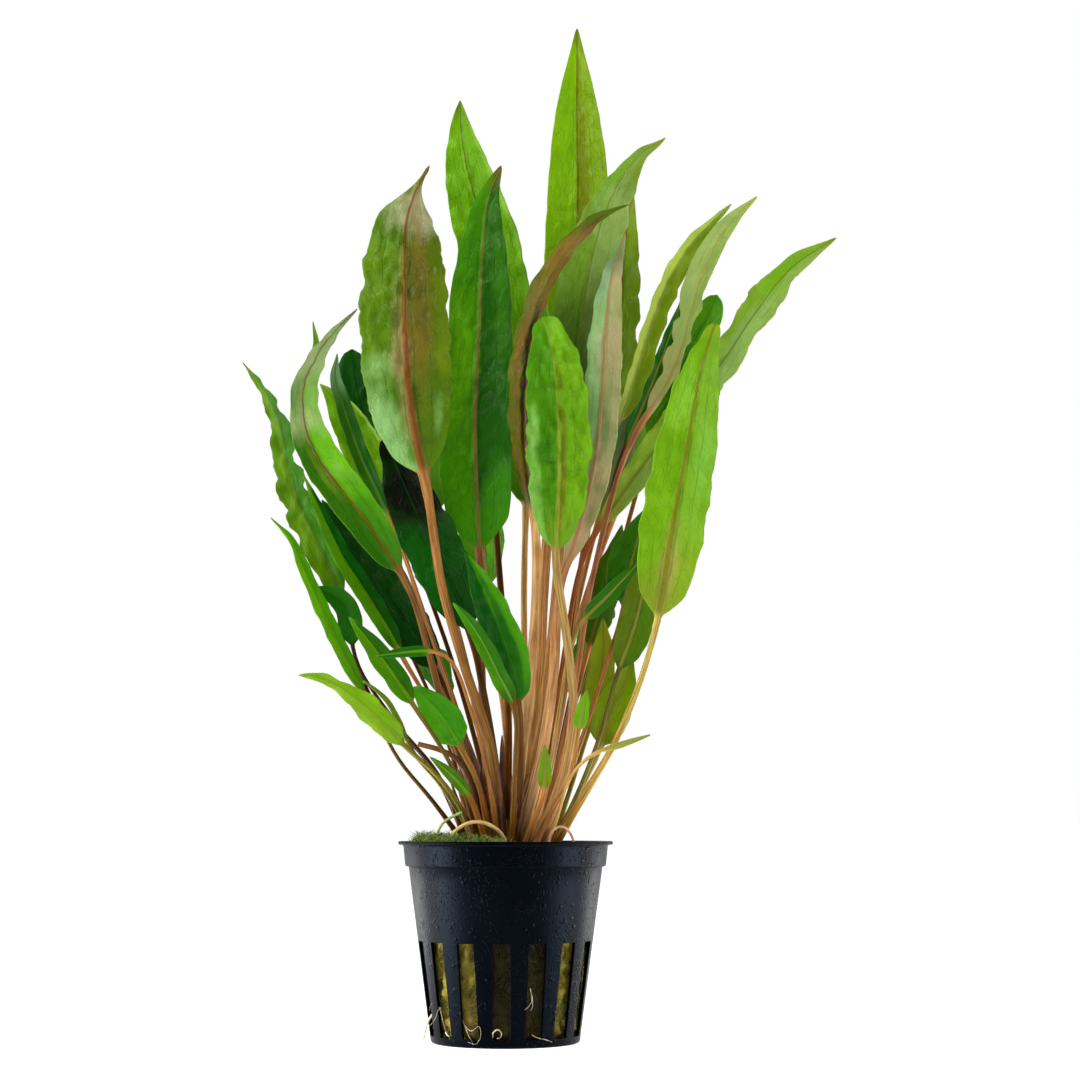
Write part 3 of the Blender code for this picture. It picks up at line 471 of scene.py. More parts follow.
# Colours as the photograph shows them, as hexadecimal red, green and blue: the blade's left half
# and right half, its base and tip, its midrib, the stalk near the blade and near the crown. Then
# the patches that differ: across and along the blade, their reach each way, colour and strength.
# A few bases, tips and patches are painted shade, painted shadow or painted sheen, as noted at their leaves.
# Then sizes and strengths: the midrib in millimetres (rib_mm), how far veins, mottling, waves,
# puckers, bright specks that are painted glints, and notches (ragged) show, the light that shines
# through (glow), roughness, where the tip's colour starts and the base's ends, the underside's own
# colour (under), how much the tip draws in (sharp) or is rounded (blunt), the width along the blade
# (broad), where the waves end (calm), and how much thicker the stalk is half way up (stout).
LOOKS = {
    "tall_centre": Look(0x78A810, 0x769614, 0x647E0C, 0x6C801A, 0x605010, 0xAE7E4E, TAN,
        [(0.22, 0.55, 0.2, 0.4, 0x707814, 0.85), (0.0, 1.0, 1.0, 0.025, 0x4C3818, 0.9)], rib_mm=0.55,
        wave=0.25, glow=0.2, ragged=0.0, stout=0.25),
    # right_curl: its dark base colour, reaching half way up the blade (base_to), is painted shade, and its
    # pale patch near the middle is painted sheen.
    "right_curl": Look(0x749C2E, 0x8AA654, 0x1A3204, 0x828E2E, 0x6A7C22, ROSE, TAN,
        [(0.7, 0.86, 0.5, 0.10, 0x768E18, 0.8), (-0.2, 0.66, 0.7, 0.12, 0x8EAC5C, 0.6)], wave=0.7,
        base_to=0.55, stout=0.2),
    "olive_strip": Look(0x708C1A, 0x769424, 0x687E1A, 0x709028, RUST, RUST, ROSE),
    # bronze_arch: the near-black patch (0x100E05) is painted shadow, the dark gap beside the leaf in front.
    "bronze_arch": Look(0x585C14, 0x62421E, 0x38320E, 0x466812, 0x3E2812, 0xBE925E, 0xC69A66,
        [(0.15, 0.34, 0.42, 0.40, 0x100E05, 0.97), (0.0, 0.72, 0.9, 0.14, 0x705C24, 0.75),
        (-0.48, 0.36, 0.24, 0.5, 0x704E2A, 0.8)], mottle=0.5, glow=0.10, tip_from=0.84, wave=0.35,
        rib_mm=0.3, stout=0.1),
    "front_centre": Look(0x4C880E, 0x649616, 0x628C24, 0x549014, 0x7A862E, 0x987E48, 0xAC8454,
        [(0.16, 0.34, 0.13, 0.42, 0x746E22, 0.75), (-0.85, 0.2, 0.3, 0.2, 0x84BC54, 0.7),
        (-0.8, 0.5, 0.2, 0.10, 0x88BC5C, 0.7), (-0.45, 0.42, 0.3, 0.05, 0x2C6608, 0.6),
        (0.5, 0.86, 0.4, 0.08, 0x76B422, 0.6)], rib_mm=0.5, wave=1.3, pucker=0.8, blunt=0.10, ragged=0.03,
        stout=0.0),
    "dark_green": Look(0x4C8E14, 0x285806, 0x3C820C, 0x605C24, 0x766034, 0x805232, 0x74482A,
        [(-0.55, 0.47, 0.5, 0.20, 0x68B01C, 0.9), (-0.5, 0.16, 0.6, 0.14, 0x54A212, 0.7),
        (-0.3, 0.78, 0.6, 0.16, 0x38760E, 0.7), (0.6, 0.14, 0.5, 0.12, 0x3A7E10, 0.7),
        (0.65, 0.70, 0.3, 0.2, 0x3A740C, 0.6), (-0.06, 0.5, 0.05, 0.5, 0x709442, 0.6)], rib_mm=0.5, wave=0.6,
        pucker=0.4, ragged=0.0, speck=0.3),
    "behind_left": Look(0x669E0E, 0x60940E, 0x3E6E08, 0x60821E, 0x4A4C0A, BROWN, RUST,
        [(0.9, 0.7, 0.12, 0.4, 0x80AE3A, 0.6), (0.0, 1.0, 1.0, 0.02, 0x423E28, 0.9)], rib_mm=0.42, glow=0.2,
        ragged=0.0),
    # large_bronze: the two palest patches (0x769E5E low down, 0x969670 near the top) are painted sheen, and
    # its bright specks are painted glints.
    "large_bronze": Look(0x4E6016, 0x507010, 0x4E6C18, 0x526622, 0x6C381C, 0x906438, 0x78562C,
        [(0.75, 0.13, 0.60, 0.26, 0x769E5E, 0.95), (-0.10, 0.82, 1.3, 0.085, 0x969670, 0.85),
        (-0.34, 0.54, 0.36, 0.32, 0x665A28, 0.8), (0.14, 0.34, 0.22, 0.36, 0x7A6E46, 0.75),
        (-0.7, 0.18, 0.4, 0.2, 0x426614, 0.8), (-0.68, 0.19, 0.13, 0.07, 0x70964C, 0.5),
        (-0.85, 0.46, 0.2, 0.2, 0x5A701C, 0.7)], rib_mm=1.0, vein=0.8, mottle=0.7, wave=0.5, glow=0.05,
        tip_from=0.89, under=0.0, sharp=0.75, pucker=0.6, ragged=0.018, speck=0.55),
    # left_arch: the pale patch over the top and the pale tip are painted sheen.
    "left_arch": Look(0x3C7212, 0x6CB622, 0x2C5C0A, 0xA6B686, 0x683E1E, 0x745030, 0x704826,
        [(0.0, 0.90, 2.4, 0.42, 0xAAC27E, 0.97), (-0.1, 0.62, 0.10, 0.3, 0xA08C68, 0.5),
        (-0.3, 0.40, 0.25, 0.14, 0x7E922C, 0.5), (0.3, 0.16, 0.8, 0.16, 0x3A7414, 0.7)], wave=0.5,
        base_to=0.4, rib_mm=0.36, broad=((0.0, 1.0), (0.45, 1.0), (0.62, 0.86), (0.85, 0.80), (1.0, 0.9))),
    "far_left": Look(0x587E10, 0x3A6C0A, 0x446608, 0x687A2C, 0x425C0A, UMBER, UMBER, mottle=0.8, wave=1.3,
        pucker=0.4, ragged=0.06),
    "left_strap": Look(0x60A20E, 0x4A8C0E, 0x54841A, 0x70983C, LIME, OLIVE, BROWN),
    "small_curled": Look(0x24600C, 0x28640C, 0x22580A, 0x326C12, 0x22540E, UMBER, BROWN),
    "low_left": Look(0x8CB032, 0x74A224, 0x80A038, 0x70A030, 0x709628, OLIVE, OLIVE, wave=1.2, ragged=0.03,
        broad=((0.0, 1.0), (0.45, 0.95), (0.62, 0.72), (0.72, 0.5), (0.84, 0.8), (1.0, 1.0))),
    "low_thin": Look(0x829E40, 0x7E9C3C, 0x78943A, 0x809E46, LIME, OLIVE, OLIVE),
    "mid_left_strap": Look(0x4A801A, 0x2E600A, 0x426E14, 0x54862C, LIME, OLIVE, BROWN),
    "small_flat": Look(0x266208, 0x245E08, 0x4A701E, 0x266008, LIME, ROSE, RUST),
    "green_strap": Look(0x54901C, 0x185206, 0x26580A, 0x78A24C, LIME, ROSE, RUST),
    "low_bright": Look(0x489010, 0x3C840E, 0x40780C, 0x629026, 0x548C18, OLIVE, RUST, rib_mm=0.3,
        blunt=0.12),
    "low_small": Look(0x466C18, 0x426A14, 0x4A6E1C, 0x486A1E, LIME, OLIVE, RUST),
    "cut_stub": Look(0x6E6638, 0x6C6438, 0x645022, 0x78764E, OLIVE, ROSE, BROWN),
    "folded_dark": Look(0x2E5C0C, 0x224E08, 0x142C06, 0x6E9462, 0x466828, ROSE, BROWN, tip_from=0.66,
        glow=0.1),
    "dark_round": Look(0x1C520C, 0x164406, 0x123404, 0x1C4E08, 0x1A4A0A, BROWN, BROWN,
        [(-0.9, 0.6, 0.3, 0.4, 0x608864, 0.7)], glow=0.1, pucker=0.5, blunt=0.30),
    "spotted_left": Look(0x66981A, 0x629416, 0x42760E, 0x8CA042, LIME, ROSE, BROWN,
        [(0.95, 0.6, 0.12, 0.5, 0x96BA50, 0.8)], mottle=0.9, pucker=0.4),
    "behind_arch": Look(0x62962C, 0x5C9028, 0x325E0C, 0x6C9A3C, LIME, BROWN, BROWN),
    # shaded_left: the near-black tip and patch are painted shadow, the dark hollow between the leaves.
    "shaded_left": Look(0x1C540A, 0x144407, 0x164206, 0x100906, 0x183C0A, BROWN, BROWN,
        [(0.0, 0.72, 2.0, 0.24, 0x0F0906, 0.97)], tip_from=0.60, glow=0.03, under=0.0, blunt=0.12),
    "shaded_low": Look(0x144408, 0x123E06, 0x143806, 0x225808, 0x1A400C, BROWN, BROWN, glow=0.05),
    "low_centre_dark": Look(0x185408, 0x4A901E, 0x24620A, 0x28681E, 0x1A4E0A, RUST, BROWN,
        [(0.32, 0.45, 0.32, 0.7, 0x1E5C0A, 0.9)], pucker=0.5, wave=0.7),
    "low_centre_bright": Look(0x448014, 0x30680E, 0x344E0C, 0x58981C, 0x5C8A32, BROWN, 0x684824, rib_mm=0.3,
        broad=((0.0, 0.8), (0.3, 0.62), (0.7, 0.66), (1.0, 0.9))),
    "right_front": Look(0x6EA01E, 0x6C9826, 0x7A8C28, 0x86A426, 0x6A641E, 0xA89650, 0xAA8442,
        [(0.05, 0.10, 0.35, 0.20, 0x968C4C, 0.6), (0.6, 0.52, 0.4, 0.16, 0x76B042, 0.5),
        (-0.5, 0.72, 0.4, 0.14, 0x86BE3E, 0.5)], rib_mm=0.78, wave=0.8, glow=0.18, blunt=0.10),
    "right_far": Look(0x80A432, 0x8AAA4E, 0x929C38, 0x7A982C, 0x686E24, 0x965432, RUST,
        [(0.2, 0.62, 0.8, 0.12, 0x8EB260, 0.8), (-0.3, 0.86, 0.8, 0.10, 0x6CA826, 0.8)], wave=1.3,
        rib_mm=0.36, ragged=0.035, broad=((0.0, 1.0), (0.55, 1.0), (0.66, 0.84), (0.75, 1.2), (0.84, 0.9),
        (0.92, 1.1), (1.0, 1.0))),
    "grey_pink": Look(0x969462, 0x88AA6E, 0x9A8C5E, 0x769254, 0x966846, 0xAC784E, 0xCCA06C,
        [(-0.5, 0.16, 0.6, 0.2, 0xA68A68, 0.7), (0.5, 0.84, 0.5, 0.12, 0x709268, 0.7),
        (-0.35, 0.46, 0.3, 0.12, 0x7E8E60, 0.7), (0.3, 0.62, 0.25, 0.10, 0x98926C, 0.6),
        (-0.5, 0.66, 0.4, 0.08, 0xA08C6E, 0.5), (0.25, 0.28, 0.25, 0.14, 0x94825C, 0.6),
        (0.0, 0.94, 1.5, 0.07, 0x546854, 0.8), (0.9, 0.4, 0.15, 0.4, 0x688C48, 0.5)], mottle=0.8, glow=0.05,
        under=0.0, wave=0.9, ragged=0.03, stout=0.25, speck=0.3, rib_mm=0.6),
    "tan_fold": Look(0x98AE3E, 0x6C841C, 0x687822, 0x7A9E3C, 0x767A24, RUST, ROSE, rib_mm=0.5, wave=0.6,
        broad=((0.0, 1.0), (0.5, 1.0), (0.8, 1.35), (1.0, 1.3))),
    "tall_right": Look(0x90A45A, 0x889E4E, 0xA89466, 0xA0A83C, 0x987C42, 0xA06644, ROSE, rib_mm=0.36,
        wave=1.3, base_to=0.4, calm=0.42, broad=((0.0, 1.0), (0.4, 1.0), (0.62, 1.5), (0.85, 1.7),
        (1.0, 1.4))),
    "dark_strip": Look(0x225A0C, 0x265A0E, 0x24500C, 0x285C10, OLIVE, BROWN, RUST, glow=0.1),
    "right_rounded": Look(0x4C860C, 0x549610, 0x527E10, 0x42800E, 0x2C6008, RUST, ROSE, pucker=0.5,
        blunt=0.28, rib_mm=0.3),
    "blue_grey": Look(0x62846A, 0x567854, 0x607232, 0x5C7C5A, OLIVE, ROSE, RUST),
    "green_behind": Look(0x386E0E, 0x3C720E, 0x3C600E, 0x3A7010, OLIVE, RUST, ROSE),
    "grey_low": Look(0x48721A, 0x527828, 0x50681C, 0x447612, OLIVE, 0xBE7A3E, ROSE),
    "dark_strap": Look(0x2C6212, 0x2C6010, 0x3C6212, 0x4E7016, OLIVE, OLIVE, TAN),
    "olive_low": Look(0x586E16, 0x4C7010, 0x3E500C, 0x507614, OLIVE, UMBER, OLIVE),
    "yellow_low": Look(0x869A22, 0x8A9626, 0x767A18, 0x8AA234, OLIVE, OLIVE, OLIVE),
    "yellow_low_front": Look(0x70881C, 0x76941A, 0x667012, 0x6E7A18, OLIVE, OLIVE, STRAW),
    "thin_right": Look(0x688A2E, 0x688A2E, 0x7C8A32, 0x648832, OLIVE, OLIVE, TAN),
    "small_centre": Look(0x60821E, 0x5C7E1C, 0x60641C, 0x647E22, OLIVE, ROSE, ROSE),
    "small_right": Look(0x5C9614, 0x589210, 0x789628, 0x5E9422, OLIVE, OLIVE, ROSE),
    "back_centre": Look(0x568C14, 0x508812, 0x426E0E, 0x5E821E, OLIVE, TAN, ROSE),
    "back_left": Look(0x5A9214, 0x548A12, 0x42700E, 0x60861E, OLIVE, ROSE, RUST),
    "back_right": Look(0x649614, 0x6A9C16, 0x548010, 0x64881E, OLIVE, ROSE, RUST),
    "back_low_left": Look(0x3E7E10, 0x428210, 0x386E0E, 0x4C7A16, OLIVE, RUST, BROWN),
    "back_low_right": Look(0x427E10, 0x3E7A10, 0x386E0E, 0x4C7A16, OLIVE, RUST, BROWN),
    "back_mid": Look(0x528E12, 0x589214, 0x46780E, 0x628A1A, OLIVE, TAN, ROSE),
}

SHEEN = 0.010  # what the studio's light adds to a leaf's own colour
RETURNED = 0.92  # how much of its own colour a leaf gives back
DARKEST = 0.0012

EDGE_RISE = 0.204  # how high the solid's inner points stand, as a share of its edges' lift

LONG_LEAF = 12  # with this many sections, a leaf has four below its blade, and otherwise three

# A leaf's sizes in millimetres
BLADE_HALF = 0.16  # half the blade's thickness
TIP_HALF = 0.15  # half the width of its very tip
STALK_STEP, BLADE_STEP = 2.6, 1.05  # between the rows of points
FOOT_REACH = 20.0  # how far up the stalk's foot stays broad
WAVE_LENGTH = 11.5


def seen(colour, factor=1.0):
    """A leaf's own colour, linear, from the colour that the photograph shows."""
    shown = ((colour >> shift & 255) / 255.0 for shift in (16, 8, 0))
    own = np.clip((np.array(tone(*shown)[:3]) - SHEEN) / RETURNED, DARKEST, 1.0) * factor
    return (*np.clip(own, 0.0, 1.0).tolist(), 1.0)


def blade_colours(p, look, across, along, broad):
    """Two halves, a base and a tip, and then the patches, all with edges that noise moves."""
    stir = (broad - 0.5) * 0.3
    blade = p.mix(p.step(across + stir, -0.10, 0.10), seen(look.left), seen(look.right))
    blade = p.mix(p.step(along + stir, 0.03, look.base_to, 0.9, 0.0), blade, seen(look.base))
    for side, height, reach, length, colour, strength in look.patches:
        away = ((across - side) * (1.0 / reach)) ** 2.0 + ((along - height) * (1.0 / length)) ** 2.0
        away = away.math("SQRT") + (broad - 0.5) * 1.6
        blade = p.mix(p.step(away, 1.25, 0.25) * strength, blade, seen(colour))
    return p.mix(p.step(along + stir * 0.3, look.tip_from, 1.0), blade, seen(look.tip))


def leaf_paint(name, look, seed):
    """Colours in halves and patches, some of them painted sheen or painted shadow, then veins that
    run with the blade, a fine net between them, a midrib band, mottling, a thin pale margin, bright
    specks that are painted glints, and a stalk with streaks along it, its pale streaks partly painted
    highlight."""
    p = Paint(name)
    across, along, stalk = p.parts(p.own("leaf_place", "Vector"))
    side_mm, length_mm, half_mm = p.parts(p.own("leaf_size", "Vector"))
    moved = {0: p.place(), 1: (seed * 0.37, seed * 0.11, 0.0)}
    spot = p.node("ShaderNodeVectorMath", {"operation": "ADD"}, moved)
    broad = p.noise(spot, 95.0, 3.0)
    fine = p.noise(spot, 620.0, 3.0)
    streak = p.noise(p.vector(side_mm * 3.2, length_mm * 0.10, float(seed)), 1.0, 3.0)
    grain = p.noise(p.vector(side_mm * 1.3, length_mm * 0.10, float(seed)), 1.0, 1.0)
    reach = abs(across)
    wide = p.step(half_mm, 2.0, 6.0) * p.step(along, 0.97, 0.72)

    blade = blade_colours(p, look, across, along, broad)
    blade = p.tint(p.step(broad, 0.50, 0.68) * look.mottle, blade, 0.62, 0.74, 0.55)
    blade = p.tint(p.step(broad, 0.48, 0.34) * look.mottle, blade, 1.30, 1.16, 1.25)
    lines = abs((reach * 2.7 + (broad - 0.5) * 0.5 + 0.10).math("FRACT") - 0.5) * half_mm * 0.37
    veins = p.step(lines, 0.05, 0.24, 1.0, 0.0) * p.step(reach, 0.93, 0.80) * p.step(along, 0.0, 0.08)
    veins = veins * p.step(grain, 0.38, 0.58) * p.step(half_mm, 2.0, 5.0)
    stir = (fine - 0.5) * 0.9
    net_place = p.vector(side_mm * 0.50 + stir, length_mm * 0.26 + reach * 1.2 + stir, float(seed))
    net = p.specks(net_place, 1.0, 0.0, 0.13, "DISTANCE_TO_EDGE")
    net = net * p.step(reach, 1.0, 0.86) * p.step(half_mm, 1.5, 5.0)
    blade = p.tint(veins * look.vein, blade, 0.60, 0.72, 0.50)
    blade = p.tint(net * 0.30, blade, 0.70, 0.80, 0.60)
    blade = p.tint(p.step(grain, 0.52, 0.74) * 0.30, blade, 1.22, 1.14, 1.30)
    blade = p.tint(p.step(fine, 0.50, 0.74) * wide * 0.25, blade, 0.80, 0.88, 0.72)
    blade = p.mix(p.step(reach, 0.955, 1.0) * 0.35, blade, seen(look.right, 1.5))
    # Painted glints: bright specks on the wide parts of the blade, where small drops would shine.
    specks = p.specks(spot, 1150.0, 0.10, 0.34) * p.step(p.noise(spot, 240.0, 1.0), 0.48, 0.60)
    blade = p.tint(specks * wide * look.speck, blade, 2.2, 1.7, 2.6)
    blade = p.mix(p.own("leaf_upper"), p.mix(look.under, blade, seen(UNDERSIDE)), blade)
    rib_mm = p.step(along, 0.0, 1.0, look.rib_mm, look.rib_mm * 0.30)
    from_rib = abs(side_mm) / rib_mm
    rib = p.step(from_rib, 0.55, 1.45, 1.0, 0.0)
    blade = p.tint(p.step(abs(from_rib - 1.6), 0.0, 0.6, 1.0, 0.0) * 0.55, blade, 0.62, 0.66, 0.50)
    blade = p.mix(rib * 0.85, blade, p.mix(grain, seen(look.rib, 0.7), seen(look.rib, 1.2)))

    stem = p.mix(p.step(length_mm, 6.0, 75.0), seen(look.foot), seen(look.stalk))
    stem = p.tint(p.step(streak, 0.42, 0.64) * 0.7, stem, 0.46, 0.36, 0.30)
    # Pale streaks: partly the stalk's own streaks, partly painted highlight lines.
    stem = p.tint(p.step(streak, 0.46, 0.30) * 0.8, stem, 1.36, 1.42, 1.46)
    stem = p.tint(p.step(broad, 0.50, 0.66) * 0.5, stem, 0.70, 0.60, 0.50)
    stem = p.mix(p.step(length_mm, 0.0, 6.0, 0.5, 0.0), stem, seen(CROWN_BROWN))
    colour = p.mix(stalk, blade, stem)

    height = (1.0 - veins * 0.7 - net * 0.5 + fine * 0.4) * wide
    rough = look.rough + (fine - 0.5) * wide * 0.22 + (broad - 0.5) * 0.12
    glow = (1.0 - stalk) * (1.0 - rib * 0.7) * look.glow
    shine = {"Specular_IOR_Level": 0.14, "Specular_Tint": (0.85, 1.0, 0.62, 1.0)}
    return p.finish(colour, rough, p.bump(height, 0.5, 0.34 * MM), glow, seen(look.left, 1.25), **shine)


def blade_across(sides):
    """Shares from the right edge to the left, closer together near the midrib and the edges: x
    less 0.55 of a sine of twice its angle."""
    x = np.linspace(1.0, -1.0, sides + 1)
    return x - 0.55 * np.sin(CIRCLE * x) / CIRCLE


def there_and_back(values, sign=1.0):
    """A section's upper side from right to left, then its lower side back, without the edges."""
    return np.concatenate([values, sign * values[-2:0:-1]])


def make_leaf(node, look, seed):
    """A leaf over its solid. Each section is a point of the midrib plus across times half the width
    to the side, plus a height square to it. On the stalk the height is a circle's sine less a
    channel. On the blade it is the lift times across to the power 1.45, plus or minus the
    thickness and the rib, plus sine waves that grow towards the margins."""
    rings = sections_of(node)
    junction = 3 if len(rings) < LONG_LEAF else 4
    edges, mids = rings[:, [0, 3]].mean(axis=1), rings[:, [1, 2, 4, 5]].mean(axis=1)
    face = unit(rings[:, [1, 2]].mean(axis=1) - rings[:, [4, 5]].mean(axis=1))
    lift = np.maximum(((edges - mids) * face).sum(axis=1, keepdims=True) / (1.0 - EDGE_RISE), 0.0)
    lift[: junction + 1] = 0.0
    centre = mids - face * (lift * EDGE_RISE)
    centre[: junction + 1] = rings[: junction + 1].mean(axis=1)
    half = np.linalg.norm(rings[:, 0] - rings[:, 3], axis=1, keepdims=True) / 2.0
    face[0], half[0] = face[1], half[1] * 1.06

    # Rows of points up the stalk and the blade. What differs from row to row is a column.
    knots = np.concatenate([[0.0], np.cumsum(np.linalg.norm(np.diff(centre, axis=0), axis=1))])
    foot, tip = knots[junction], knots[-1]
    stalk_rows = max(8, int(foot / (STALK_STEP * MM)))
    blade_rows = max(24, int((tip - foot) / (BLADE_STEP * MM)))
    on_stalk = np.linspace(0.0, foot, stalk_rows, endpoint=False)
    rows = np.concatenate([on_stalk, np.linspace(foot, tip, blade_rows)])
    middle = through(knots, centre, rows)
    tangent = unit(np.gradient(middle, rows, axis=0))
    face = through(knots, face, rows)
    face = unit(face - tangent * (face * tangent).sum(axis=1, keepdims=True))
    half, lift = (through(knots, values, rows, steady=True) for values in (half, lift))
    length = rows[:, None]
    share = np.clip((length - foot) / (tip - foot), 0.0, 1.0)
    width = half.max()

    # Half widths
    half = half * (1.0 - look.sharp * smooth(share, 0.80, 0.95) * (1.0 - smooth(share, 0.96, 1.03)))
    half = half * np.interp(share, *np.transpose(look.broad))
    if look.blunt:
        end = np.clip((share - 1.0 + look.blunt) / look.blunt, 0.0, 1.0)
        round_end = np.interp(1.0 - look.blunt, share[:, 0], half[:, 0]) * np.sqrt(1.0 - end**2)
        half = np.maximum(np.where(end > 0.0, round_end, half), TIP_HALF * MM)
    else:
        half = np.minimum(half, TIP_HALF * MM + 0.42 * (tip - length))
    neck = half[stalk_rows]
    stout = smooth(length, 0.0, 16.0 * MM) * (1.0 - smooth(length, foot - 8.0 * MM, foot))
    stem_radius = np.where(length < foot, half, neck)
    stem_radius = stem_radius * (1.0 + look.stout * stout + 0.55 * np.exp(-length / (FOOT_REACH * MM)))
    stem = np.where(length <= foot, 1.0, 1.0 - smooth(np.maximum.accumulate(half) / neck, 1.15, 2.6))

    # Places round a section
    sides = 30 if width > 6.0 * MM else 22 if width > 3.0 * MM else 14
    angle = np.linspace(0.0, math.pi, sides + 1)
    across = there_and_back(blade_across(sides))
    circle = there_and_back(np.cos(angle))
    rise = there_and_back(np.sin(angle), -1.0)
    above = there_and_back(np.ones(sides + 1), -1.0)
    above[[0, sides]] = 0.0
    reach = np.abs(across)
    on_right = across > 0.0

    # Waves, notches and puckers
    phase = np.random.default_rng(seed).uniform(0.0, CIRCLE, 6)
    swell = np.sin(math.pi * share) ** 0.6 * smooth(share, 0.02, 0.2)
    calm = 1.0 - smooth(share, look.calm, look.calm + 0.2)
    pace = WAVE_LENGTH * MM * (0.7 + 0.3 * width / (8.0 * MM))
    turn = CIRCLE * length / pace + 0.9 * np.sin(CIRCLE * length / (pace * 3.3) + phase[0])
    right_wave = np.sin(turn + phase[1]) + 0.4 * np.sin(1.9 * turn + phase[2])
    left_wave = np.sin(turn * 0.93 + phase[3]) + 0.4 * np.sin(2.1 * turn + phase[4])
    steps = length[..., None] / MM
    right_rag, left_rag = (
        ripple(steps, 9.0, seed + k) + 0.5 * ripple(steps, 2.8, seed + k + 50) for k in (400, 500)
    )
    right_edge = (0.035 * look.wave * left_wave * calm + look.ragged * right_rag) * swell
    left_edge = (0.035 * look.wave * right_wave * calm + look.ragged * left_rag) * swell
    scallop = 1.0 + np.where(on_right, right_edge, left_edge) * smooth(reach, 0.2, 0.9)
    wave = np.where(on_right, right_wave, left_wave) * reach**2.6
    wave = wave + 0.30 * np.sin(turn * 0.42 + phase[5]) * reach
    wave = wave * look.wave * min(1.0, width / (7.0 * MM)) * MM * swell * calm
    u, v = np.broadcast_arrays(half * across / MM, length * 0.75 / MM)
    quilt = flat_ripple(u, v, 3.4, seed + 200) + 0.7 * flat_ripple(u, v, 7.5, seed + 300)
    quilt = look.pucker * 0.6 * MM * quilt * swell * min(1.0, width / (5.0 * MM)) * (1.0 - reach**4)

    # The blade's and the stalk's sections, and the way from one to the other
    x_blade = half * across * scallop
    rib = (0.95 * (1.0 - share) ** 0.8 + 0.12) * neck
    ridge = rib * (1.0 - smooth(np.abs(x_blade) / rib, 0.0, 1.35))
    groove = 0.16 * ridge * np.exp(-((x_blade / (0.45 * rib)) ** 2))
    thin = BLADE_HALF * MM * np.sqrt(np.clip(1.0 - reach**5, 0.0, 1.0)) * (1.0 - 0.35 * share)
    thick = np.where(above > 0.0, thin + 0.28 * ridge - groove, np.where(above < 0.0, -thin - ridge, 0.0))
    y_blade = lift * reach**1.45 + wave + quilt + thick
    channel = 0.22 * np.exp(-((circle / 0.42) ** 2)) * (above > 0.0)
    x = x_blade * (1.0 - stem) + stem_radius * circle * stem
    y = y_blade * (1.0 - stem) + stem_radius * (rise - channel) * 0.94 * stem
    points = middle[:, None] + np.cross(tangent, face)[:, None] * x[..., None] + face[:, None] * y[..., None]
    low, high = points.min(axis=(0, 1)), points.max(axis=(0, 1))
    over = np.maximum(cad_low - low, 0.0) - np.maximum(high - cad_high, 0.0)
    points = points + over * 1.1 * smooth(share, 0.0, 0.5)[..., None]

    def spread(*values):
        """Values of each grid point, with the two end points' after them."""
        grid = np.stack(np.broadcast_arrays(*values, x)[:-1], axis=-1)
        return np.vstack([grid.reshape(-1, len(values)), grid[0].mean(axis=0), grid[-1].mean(axis=0)])

    add_piece(
        node + "_grown", capped(points), leaf_paint(node, look, seed), slot_of(node), node,
        leaf_place=spread(across * (1.0 - stem) + circle * stem, share, stem),
        leaf_size=spread(x / MM, length / MM, half / MM),
        leaf_upper=spread((above + 1.0) / 2.0)[:, 0],
    )


# Pot

def pot_paint():
    """Black plastic, faintly blue, damp: small raised specks of two sizes that shine, in drifts."""
    p = Paint("pot_plastic")
    place = p.place()
    grain = p.noise(place, 900.0, 3.0)
    broad = p.noise(place, 60.0, 3.0)
    drift = p.step(p.noise(place, 150.0, 2.0), 0.40, 0.58)
    small = p.specks(place, 1250.0, 0.16, 0.40) * drift
    large = p.specks(place, 560.0, 0.12, 0.36) * p.step(p.noise(place, 330.0, 1.0), 0.50, 0.60)
    colour = p.mix(p.step(broad, 0.35, 0.7), tone(.003, .004, .008), tone(.010, .012, .020))
    colour = p.mix(small * 0.35 + large * 0.25, colour, tone(.030, .034, .045))
    roughness = p.step(broad, 0.3, 0.7, 0.32, 0.38) + grain * 0.06 - small * 0.16 - large * 0.18
    normal = p.bump(grain * 0.12 + small + large * 1.6, 0.65, 0.16 * MM)
    return p.finish(colour, roughness, normal, Specular_IOR_Level=0.040, Specular_Tint=(0.36, 0.62, 1.0, 1.0))


def pot_radius(height):
    """The outer wall's radius below the collar."""
    return BASE_RADIUS + (SHOULDER_RADIUS - BASE_RADIUS) * height / COLLAR_LOW


def wall_rows(collar_gap, inset=0.0):
    """Points up the wall from the slots' lower end to a gap below the collar, inset from outside."""
    along_slots = np.linspace(SLOT_LOW, SLOT_HIGH, SLOT_ROWS)
    above_slots = np.linspace(SLOT_HIGH, COLLAR_LOW - collar_gap, 6)[1:]
    return [(pot_radius(z) - inset, z) for z in (*along_slots, *above_slots)]


